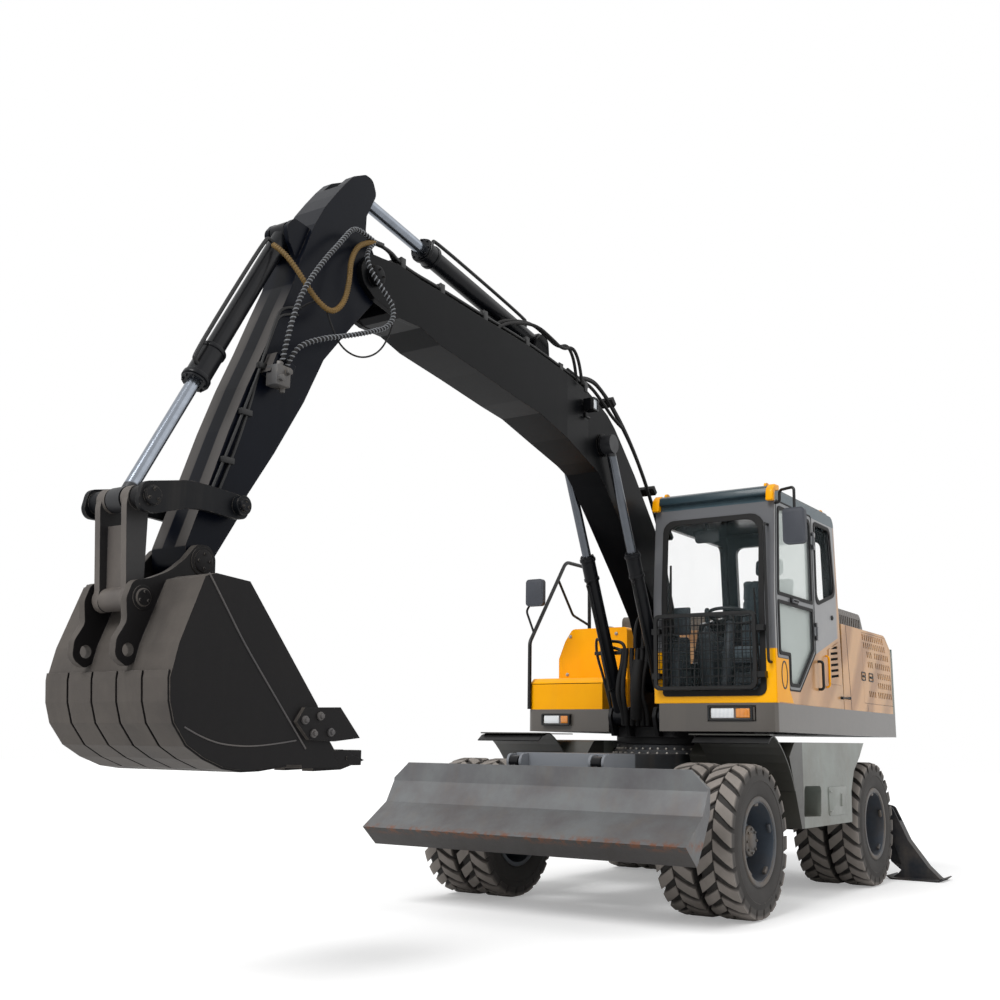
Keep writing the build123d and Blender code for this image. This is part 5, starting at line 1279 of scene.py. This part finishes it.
# tooth caps on the adapters
tooth = dict(places=(-0.370, -0.185, 0, 0.185, 0.370), tip=4.540, rear=4.690, half=0.034, low=1.020,
             high=1.096)
caps = []
for y in tooth["places"]:
    cap = blockAt((tooth["tip"], tooth["rear"]), (y - tooth["half"], y + tooth["half"]),
                  (tooth["low"], tooth["high"]), 0.006)
    editing(cap)
    chooseFaces(cap, lambda face: face.normal.x < -0.9)
    bpy.ops.transform.resize(value=(1, 0.72, 0.30), center_override=spot(tooth["tip"], y,
                                                                         tooth["low"] + 0.020))
    editing(cap, False)
    caps.append(cap)
    caps.append(barAt((4.655, y - 0.042, 1.056), (4.655, y + 0.042, 1.056), 0.010, 12))
fit("tooth_caps", caps, "digging_bucket", "bucketPaint")

# Pin heads: a round plate with bolts over each big pin
def pinHead(x, y, z, radius, side):
    profile = [(0.0, 0.0), (0.012, 0.0), (0.012, radius * 0.86), (0.007, radius), (-0.004, radius)]
    plate = spunAt([(y + side * out, r) for out, r in profile], x, z, 40)
    bolt = barAt((x, y, z + radius * 0.62), (x, y + side * 0.019, z + radius * 0.62), 0.0075, 6, 0.0015)
    return [plate, spinCopies(bolt, 3 if radius < 0.05 else 4, spot(x, 0, z), (0, 1, 0))]


pinSets = {"main_boom": ("boomPaint", "boom_paint", [(4.300, 0.186, 3.795, 0.058)]),
           "house": ("framePaint", "frame_paint", [(0.212, 0.206, 1.680, 0.056)]),
           "curl_rocker": ("leverPaint", "bucket_paint", [(5.285, 0.240, 2.251, 0.032),
                                                          (5.814, 0.208, 2.206, 0.046)]),
           "digging_bucket": ("bucketPaint", "bucket_paint", [(5.461, 0.166, 1.957, 0.056),
                                                              (5.793, 0.166, 1.750, 0.042)]), }
for body, (finishName, slotName, places) in pinSets.items():
    heads = []
    for x, y, z, radius in places:
        for side in (1, -1):
            heads += pinHead(x, side * y, z, radius, side)
    dress(together(body + "_pin_heads", heads), body, materials[finishName])
print("bucket and pins dressed")


# Engine cover: seams, latches and the small stay
coverParts = []
for top, low in (((-0.683, 2.166), (-0.757, 1.462)), ((-1.207, 1.520), (-1.207, 1.462))):
    coverParts.append(plateAt([(top[0], top[1]), (low[0], low[1]), (low[0] - 0.007, low[1]),
                               (top[0] - 0.007, top[1])], 1.2425, 1.2468, edge=0))
fit("cover_seams", coverParts, "house", "rubber")
latches = []
for x0, x1 in ((-1.177, -1.070), (-1.398, -1.276)):
    latches.append(frameAt((x0, x1, 1.723, 1.799), (0.010, 0.010), (0.012, 0.006), 1.236, 1.250))
    latches.append(blockAt((x0 + 0.010, x1 - 0.010), (1.236, 1.243), (1.733, 1.789), 0.002))
    latches.append(blockAt((x0 + 0.022, x1 - 0.030), (1.242, 1.254), (1.752, 1.770), 0.004))
latches.append(tubeAt([(-0.486, 1.258, 1.549), (-0.580, 1.266, 1.552), (-0.684, 1.258, 1.554)], 0.007))
for x, z in ((-0.486, 1.549), (-0.684, 1.554)):
    latches.append(barAt((x, 1.244, z), (x, 1.268, z), 0.012, 12))
latches.append(barAt((-0.336, 1.244, 2.194), (-0.336, 1.256, 2.194), 0.020, 24))
latches.append(barAt((-0.336, 1.252, 2.194), (-0.336, 1.260, 2.194), 0.009, 12))
fit("cover_latches", latches, "house", "plasticDark")

# dark backs behind the slots, as painted shade, so that they read as holes
backs = [plateAt([(-1.14, 1.55), (-1.96, 1.55), (-1.96, 1.975), (-1.80, 2.12), (-1.14, 2.12)], 1.205, 1.209,
                 edge=0.001), plateAt([(-0.23, 1.68), (-0.47, 1.68), (-0.45, 1.98), (-0.23, 1.92)], 1.2462,
                                      1.2472, edge=0)]
fit("painted_slot_shade", backs, "house", "shadeAndSeamBlack")

# bolts on the tank and its filler cap
tankParts = []
for x, y, z in ((0.0, -1.05, 2.10), (0.0, -0.58, 2.11), (0.0, -0.58, 1.76), (0.0, -1.08, 1.76)):
    tankParts.append(barAt((x - 0.002, y, z), (x + 0.008, y, z), 0.016, 16))
    tankParts.append(barAt((x + 0.004, y, z), (x + 0.014, y, z), 0.009, 6, 0.001))
tankParts.append(barAt((-0.28, -0.82, 2.160), (-0.28, -0.82, 2.205), 0.055, 32, 0.006))
fit("tank_bolts", tankParts, "house", "zincPlate")
seams = [blockAt((0.4335, 0.4375), (-1.19, -0.49), (1.652, 1.657), 0.001),
         blockAt((-0.022, 0.0), (-1.17, -0.48), (1.702, 1.708), 0.001)]
fit("tank_seams", seams, "house", "shadeAndSeamBlack")

# mudguards: black sheet tops with a rolled front edge
guardEdge = [(0.62, 1.232), (1.02, 1.228), (1.10, 1.212), (1.16, 1.170), (1.155, 1.162), (1.095, 1.202),
             (1.02, 1.220), (0.62, 1.224)]
guards = [plateAt(guardEdge, side * 0.66, side * 1.248, edge=0.002) for side in (1, -1)]
fit("guard_tops", guards, "undercarriage", "blackPaint")

# Hoses and pipes at the boom's foot, beside the far cylinder
footParts = []
for shift in (0, 0.05):
    footParts.append(tubeAt([(0.800, -0.330 + shift, 1.985 - shift),
                             (0.800, -0.20 + shift * 0.4, 1.965 - shift),
                             (0.800, -0.09, 1.955 - shift * 1.4), (0.800, -0.065, 1.880 - shift),
                             (0.800, -0.070, 1.800)], 0.013))
    footParts.append(tubeAt([(0.800, -0.330 + shift, 1.985 - shift), (0.79, -0.352 + shift, 1.90),
                             (0.72, -0.300 + shift * 0.5, 1.65), (0.655, -0.28, 1.43)], 0.011))
footParts.append(blockAt((0.780, 0.815), (-0.345, -0.045), (1.855, 1.885), 0.005))
fit("foot_pipes", footParts, "house", "blackPaint")
bundle = []
for y, bow, x in ((-0.085, 0.03, 0.80), (-0.060, 0.015, 0.80), (-0.015, -0.02, 0.79), (0.030, 0.0, 0.78),
                                 (0.075, 0.02, 0.78), (0.115, 0.03, 0.77)):
    bundle.append(tubeAt([(x, y, 1.90), (x + 0.01, y, 1.80), (x + 0.03, y - bow, 1.66),
                          (x + 0.02, y - bow * 1.5, 1.52), (x - 0.05, y - 0.03, 1.40),
                          (x - 0.09, y - 0.05, 1.30)], 0.019))
    bundle.append(barAt((x, y, 1.845), (x, y, 1.905), 0.022, 6, 0.002))
sleeve = tubeAt([(0.80, 0.052, 1.80), (0.83, 0.040, 1.66), (0.80, 0.025, 1.50), (0.72, -0.01, 1.36)], 0.050)
bundle.append(sleeve)
for y in (0.02, 0.09):
    bundle.append(tubeAt([(0.42, y, 2.42), (0.60, y, 2.26), (0.76, y, 2.12), (0.80, y, 2.02),
                          (0.80, y, 1.90)], 0.016))
fit("foot_hoses", bundle, "house", "rubber", smooth=50)
print("cover and foot dressed")


# Inside the cab
inside = dict(floor=1.499, middle=0.740, voxel=0.009, pressure=4.0, limit=0.016)


def inflated(piece, limit):
    # swell a cushion a little as filled cloth, then keep every point within the limit
    pick(piece)
    grid = piece.modifiers.new("grid", "REMESH")
    grid.mode = "VOXEL"
    grid.voxel_size = inside["voxel"]
    bpy.ops.object.modifier_apply(modifier="grid")
    start = [corner.co.copy() for corner in piece.data.vertices]
    cloth = piece.modifiers.new("filling", "CLOTH")
    cloth.settings.quality = 3
    cloth.settings.mass = 0.3
    cloth.settings.use_pressure = True
    cloth.settings.uniform_pressure_force = inside["pressure"]
    cloth.settings.effector_weights.gravity = 0
    cloth.point_cache.frame_start = 1
    cloth.point_cache.frame_end = 20
    for moment in range(1, 21):
        bpy.context.scene.frame_set(moment)
    bpy.ops.object.modifier_apply(modifier="filling")
    bpy.context.scene.frame_set(1)
    for corner, before in zip(piece.data.vertices, start):
        move = corner.co - before
        if move.length > limit:
            corner.co = before + move.normalized() * limit
    piece.data.update()
    return piece


def cushionAt(points, low, high, plane="xz", channels=()):
    # a thick pad with soft edges, its middle crowned, and seams drawn in across it
    pad = plateAt(points, low, high, plane, edge=0.030, steps=4)
    pad = inflated(pad, inside["limit"])
    for axis, value, depth, width in channels:
        for corner in pad.data.vertices:
            gap = abs(corner.co[axis] - value) / width
            if gap < 1:
                corner.co -= corner.normal * depth * (1 - gap * gap)
    pad.data.update()
    return pad


def spunStick(x, y, z):
    # a joystick: gaiter, stem and grip, turned about its own upright line
    profile = [(0.048, -0.010), (0.044, 0.010), (0.032, 0.020), (0.036, 0.032), (0.020, 0.050),
               (0.011, 0.060), (0.011, 0.090), (0.019, 0.100), (0.023, 0.150), (0.021, 0.190),
               (0.014, 0.206), (0.0, 0.210)]
    piece = tracedChain([spot(x + r, y, z + h) for r, h in profile])
    return turnRound(piece, 24, spot(x, y, z), (0, 0, 1))


floorZ, seatY = inside["floor"], inside["middle"]
seatPad = cushionAt([(-0.215, floorZ + 0.335), (0.255, floorZ + 0.335), (0.262, floorZ + 0.425),
                     (-0.215, floorZ + 0.435)], seatY - 0.235, seatY + 0.235,
                    channels=((1, seatY - 0.13, 0.008, 0.014), (1, seatY + 0.13, 0.008, 0.014)))
backPad = cushionAt([(-0.220, floorZ + 0.465), (-0.118, floorZ + 0.465), (-0.215, floorZ + 1.045),
                     (-0.318, floorZ + 1.045)], seatY - 0.225, seatY + 0.225,
                    channels=((2, floorZ + 0.66, 0.008, 0.014), (2, floorZ + 0.86, 0.008, 0.014),
                              (1, seatY - 0.14, 0.007, 0.012), (1, seatY + 0.14, 0.007, 0.012)))
headPad = cushionAt([(-0.330, floorZ + 1.075), (-0.245, floorZ + 1.075), (-0.268, floorZ + 1.215),
                     (-0.335, floorZ + 1.215)], seatY - 0.118, seatY + 0.118)
for name, pad in (("seat_cushion", seatPad), ("seat_back", backPad), ("seat_headrest", headPad)):
    pad.name = name
    dress(pad, "house", materials["seatCloth"], ["cab_interior"], smooth=60)

fittings = []
for k in range(5):
    # the bellows under the seat, every other fold a little smaller
    inset, low = 0.012 * (k % 2), floorZ + 0.060 * k
    fittings.append(blockAt((inset - 0.170, 0.170 - inset), (seatY - 0.165 + inset, seatY + 0.165 - inset),
                            (low, low + 0.066), 0.014, 3))
fittings.append(blockAt((-0.225, 0.235), (seatY - 0.215, seatY + 0.215), (floorZ + 0.300, floorZ + 0.335),
                        0.010))
for s in (1, -1):
    y = seatY + s * 0.330
    fittings.append(plateAt(rounded([(-0.215, floorZ + 0.02), (0.300, floorZ + 0.02),
                                     (0.328, floorZ + 0.555), (-0.215, floorZ + 0.500)], 0.04), y - 0.060,
                            y + 0.060, edge=0.010, steps=3))
    fittings.append(spunStick(0.270, y, floorZ + 0.550))
fittings.append(barAt((0.715, seatY, floorZ + 0.010), (0.565, seatY, floorZ + 0.600), 0.042, 24, 0.006))
fittings.append(blockAt((0.640, 0.800), (seatY - 0.09, seatY + 0.09), (floorZ, floorZ + 0.05), 0.010))
for s in (1, -1):
    fittings.append(plateAt([(0.600, floorZ + 0.020), (0.700, floorZ + 0.130), (0.705, floorZ + 0.120),
                             (0.608, floorZ + 0.010)], seatY + s * 0.16 - 0.045, seatY + s * 0.16 + 0.045,
                            edge=0.002))
fittings.append(plateAt(rounded([(0.610, floorZ + 0.01), (0.850, floorZ + 0.01), (0.830, floorZ + 0.47),
                                 (0.640, floorZ + 0.49)], 0.04), 0.312, 0.425, edge=0.010, steps=3))
fittings.append(blockAt((0.702, 0.738), (0.335, 0.465), (floorZ + 0.500, floorZ + 0.715), 0.008, 3))
fit("cab_fittings", fittings, "house", "plasticGrey")

clearSelection()
wheelLean = Vector((-0.160, 0, 0.620))
wheelRadius, wheelRim = 0.178, 0.0135
bpy.ops.mesh.primitive_torus_add(major_radius=wheelRadius, minor_radius=wheelRim, major_segments=64,
                                 minor_segments=14, location=spot(0.552, seatY, floorZ + 0.650),
                                 rotation=wheelLean.to_track_quat("Z", "Y").to_euler())
rim = settle(bpy.context.object)
wheelParts = [rim, barAt((0.556, seatY - 0.175, floorZ + 0.648), (0.556, seatY + 0.175, floorZ + 0.648),
                         0.010, 12), barAt((0.566, seatY, floorZ + 0.610), (0.549, seatY, floorZ + 0.664),
                                           0.034, 24, 0.006)]
screen = blockAt((0.698, 0.703), (0.347, 0.453), (floorZ + 0.520, floorZ + 0.700), 0.002)
wheelParts.append(screen)
wheelParts.append(plateAt(rounded([(0.560, 2.700), (0.760, 2.700), (0.760, 2.800), (0.560, 2.800)], 0.03),
                          0.800, 0.812, "yz", 0.004))
wheelParts.append(tubeAt([(0.806, 0.660, 2.800), (0.820, 0.660, 2.860), (0.835, 0.660, 2.930)], 0.008))
fit("cab_controls", wheelParts, "house", "plasticDark")
print("cab inside made")


# Lamp, valve block, cylinder glands and pipes
lampParts = [frameAt((1.774, 1.860, 3.586, 3.686), (0.010, 0.011), (0.012, 0.008), 0.216, 0.240),
             barAt((1.817, 0.150, 3.585), (1.817, 0.150, 3.545), 0.008, 12),
             barAt((1.790, 0.165, 3.545), (1.844, 0.165, 3.545), 0.010, 12)]
fit("lamp_frame", lampParts, "main_boom", "blackPaint")
lampPane = blockAt((1.785, 1.849), (0.214, 0.232), (3.598, 3.674), 0.004)
fit("lamp_pane", [lampPane], "main_boom", "lampWhite")


def lineOf(cylinder, y):
    # places along a cylinder's line, measured from its foot pin
    (footX, footZ), (eyeX, eyeZ) = cylinder["foot"], cylinder["eye"]
    way = Vector((eyeX - footX, 0, eyeZ - footZ)).normalized()

    def at(along, side=0.0, up=0.0):
        return (footX + way.x * along - way.z * up, y + side, footZ + way.z * along + way.x * up)

    return at


def glandAt(cylinder, y):
    # two rings round the barrel's end and the bolts on its face
    at, radius, end = lineOf(cylinder, y), cylinder["radius"], cylinder["barrelEnd"]
    second = end - cylinder["collar"]
    parts = [barAt(at(end - 0.040), at(end - 0.014), radius + 0.008, 40, 0.003),
             barAt(at(second - 0.014), at(second + 0.010), radius + 0.006, 40, 0.003)]
    bolts = 8
    for k in range(bolts):
        turn = math.tau * k / bolts
        side, up = math.cos(turn) * (radius - 0.009), math.sin(turn) * (radius - 0.009)
        parts.append(barAt(at(end - 0.002, side, up), at(end + 0.009, side, up), 0.0070, 6, 0.001))
    return parts


for cylinder in cylinders.values():
    rings = []
    for y in cylinder["sides"]:
        rings += glandAt(cylinder, y)
    fit(cylinder["rings"], rings, cylinder["body"], "barrelPaint")


# pipes beside the barrels, bent into their ports at both ends
def besideBarrel(cylinder, y, low, high, off, side, radius):
    at = lineOf(cylinders[cylinder], y)
    route = ((low, 0.040), (low, off - 0.022), (low + 0.024, off), (high - 0.024, off), (high, off - 0.022),
             (high, 0.045))
    return tubeAt([at(along, side, up) for along, up in route], radius)


bucketPipe = besideBarrel("bucket", 0.0, 0.14, 1.075, 0.096, 0.030, 0.011)
armPipe = besideBarrel("arm", 0.0, 0.16, 1.300, 0.108, 0.030, 0.012)
boomPairPipes = [besideBarrel("boom", y, 0.25, 1.150, -0.082, 0.0, 0.010)
                 for y in cylinders["boom"]["sides"]]
fit("bucket_cylinder_pipe", [bucketPipe], "curl_barrel", "blackPaint")
fit("arm_cylinder_pipe", [armPipe], "dipper_barrel", "blackPaint")
fit("boom_cylinder_pipes", boomPairPipes, "boom_barrel_pair", "blackPaint")

# loose hoses over the boom beside the foot of the arm cylinder
loops = []
for shift, lift in ((0.0, 0.0), (0.045, -0.025)):
    loops.append(tubeAt([(3.020, 0.095 + shift, 3.865), (2.940, 0.098 + shift, 3.960 + lift),
                         (2.746, 0.100 + shift, 4.030 + lift), (2.526, 0.115 + shift, 4.075 + lift),
                         (2.354, 0.130 + shift, 4.028 + lift), (2.203, 0.135 + shift, 3.985 + lift),
                         (2.077, 0.140 + shift, 4.045 + lift), (2.006, 0.145 + shift, 3.985 + lift),
                         (1.950, 0.140 + shift, 3.880 + lift), (1.915, 0.130 + shift, 3.775)], 0.012))
fit("boom_top_hoses", loops, "main_boom", "rubber", smooth=50)

# valve block on the arm: block, ports and caps
valve = [blockAt((5.010, 5.110), (0.150, 0.230), (2.915, 3.025), 0.006),
         barAt((5.035, 0.225, 2.995), (5.035, 0.252, 2.995), 0.019, 6, 0.002),
         barAt((5.085, 0.225, 2.950), (5.085, 0.252, 2.950), 0.019, 6, 0.002),
         barAt((5.060, 0.190, 3.020), (5.055, 0.190, 3.052), 0.021, 6, 0.002),
         barAt((5.030, 0.190, 2.920), (5.028, 0.190, 2.892), 0.016, 6, 0.002)]
fit("valve_block", valve, "dipper", "rimParts")

# mirrors: glass faces and shells
mirrors = [dict(sides=(1.338, 1.508, 2.608, 2.879), corner=0.034, glass=0.018, x=0.9245),
           dict(sides=(-1.251, -1.072, 2.339, 2.578), corner=0.032, glass=0.018, x=0.3985)]


def shrunk(sides, amount):
    u0, u1, v0, v1 = sides
    return square(u0 + amount, u1 - amount, v0 + amount, v1 - amount)


faces, shells = [], []
for mirror in mirrors:
    sides, corner, x = mirror["sides"], mirror["corner"], mirror["x"]
    faces.append(plateAt(rounded(shrunk(sides, mirror["glass"]), corner - 0.010), x, x + 0.004, "yz",
                         0.001))
    shells.append(frameAt(sides, (0.014, 0.014), (corner, corner - 0.008), x + 0.0015, x + 0.0475, "yz"))
    shells.append(plateAt(rounded(shrunk(sides, 0.012), corner - 0.008), x + 0.0375, x + 0.0495, "yz",
                          0.004))
fit("mirror_faces", faces, "house", "rodChrome")
fit("mirror_shells", shells, "house", "mirrorShell")

# small things on the cab side: oval recess and yellow pull
recess = dict(x=0.795, z=1.666, wide=0.062, high=0.105, wall=0.012, points=28)
recessOut = oval(recess["x"], recess["z"], recess["wide"], recess["high"], recess["points"])
recessIn = oval(recess["x"], recess["z"], recess["wide"] - recess["wall"], recess["high"] - recess["wall"],
                recess["points"])
fit("side_recess", [ringAt(recessOut, recessIn, 1.244, 1.252)], "house", "blackPaint")
# painted shade: the recess's back is near-black so that it reads deep
fit("side_recess_shade", [plateAt(recessIn, 1.243, 1.2475, "xz", 0.0006)], "house", "shadeAndSeamBlack")
pull = tubeAt([(-0.150, 1.246, 1.870), (-0.150, 1.268, 1.865), (-0.150, 1.272, 1.840),
               (-0.150, 1.272, 1.650), (-0.150, 1.268, 1.625), (-0.150, 1.246, 1.620)], 0.0085)
fit("amber_pull", [pull], "house", "yellowPaint")
print("small parts made")


# Lamps and floor
studio = dict(keyStrength=2.1, keySpread=26, keyFrom=(1.0, -0.05, 0.95), fillStrength=0.55, rimStrength=0.5,
              rimFrom=(-0.6, 1.0, 0.9), floorColour="e9e9e9")


def sunLamp(name, direction, strength, spread):
    lamp = bpy.data.lights.new(name, "SUN")
    lamp.energy = strength
    lamp.angle = math.radians(spread)
    piece = bpy.data.objects.new(name, lamp)
    piece.rotation_euler = Vector(direction).to_track_quat("Z", "Y").to_euler()
    bpy.context.scene.collection.objects.link(piece)


sunLamp("keyLamp", studio["keyFrom"], studio["keyStrength"], studio["keySpread"])
sunLamp("rimLamp", studio["rimFrom"], studio["rimStrength"], 60)

world = bpy.data.worlds.new("studioSky")
bpy.context.scene.world = world
world.use_nodes = True
world.node_tree.nodes.clear()
skyAdd = wired(world.node_tree)
path = skyAdd("ShaderNodeLightPath")
seen = skyAdd("ShaderNodeMath", {0: path.outputs["Is Camera Ray"], 1: path.outputs["Is Glossy Ray"]},
              operation="MAXIMUM")
seen = skyAdd("ShaderNodeMath", {0: seen.outputs[0], 1: path.outputs["Is Transmission Ray"]},
              operation="MAXIMUM")
level = skyAdd("ShaderNodeMapRange", {"Value": seen.outputs[0], "To Min": studio["fillStrength"],
                                      "To Max": 1.0})
sky = skyAdd("ShaderNodeBackground", {"Color": (1, 1, 1, 1), "Strength": level.outputs["Result"]})
skyAdd("ShaderNodeOutputWorld", {"Surface": sky.outputs[0]})

clearSelection()
bpy.ops.mesh.primitive_circle_add(vertices=96, radius=60, fill_type="NGON", location=(0, 0, 0))
floorDisc = bpy.context.object
floorDisc.name = "floor"
settle(floorDisc)
floorLook, tree, add, shader = newMaterial("floorPale")
shader.inputs["Base Color"].default_value = tint(studio["floorColour"])
shader.inputs["Roughness"].default_value = 0.95
shader.inputs["Specular IOR Level"].default_value = 0.0
path = add("ShaderNodeLightPath")
lift = add("ShaderNodeMath", {0: path.outputs["Is Camera Ray"], 1: 0.30}, operation="MULTIPLY")
tree.links.new(lift.outputs[0], shader.inputs["Emission Strength"])
shader.inputs["Emission Color"].default_value = (1, 1, 1, 1)
floorDisc.data.materials.append(floorLook)
bpy.context.scene.view_settings.view_transform = "Standard"
print("studio set")

clearSelection()
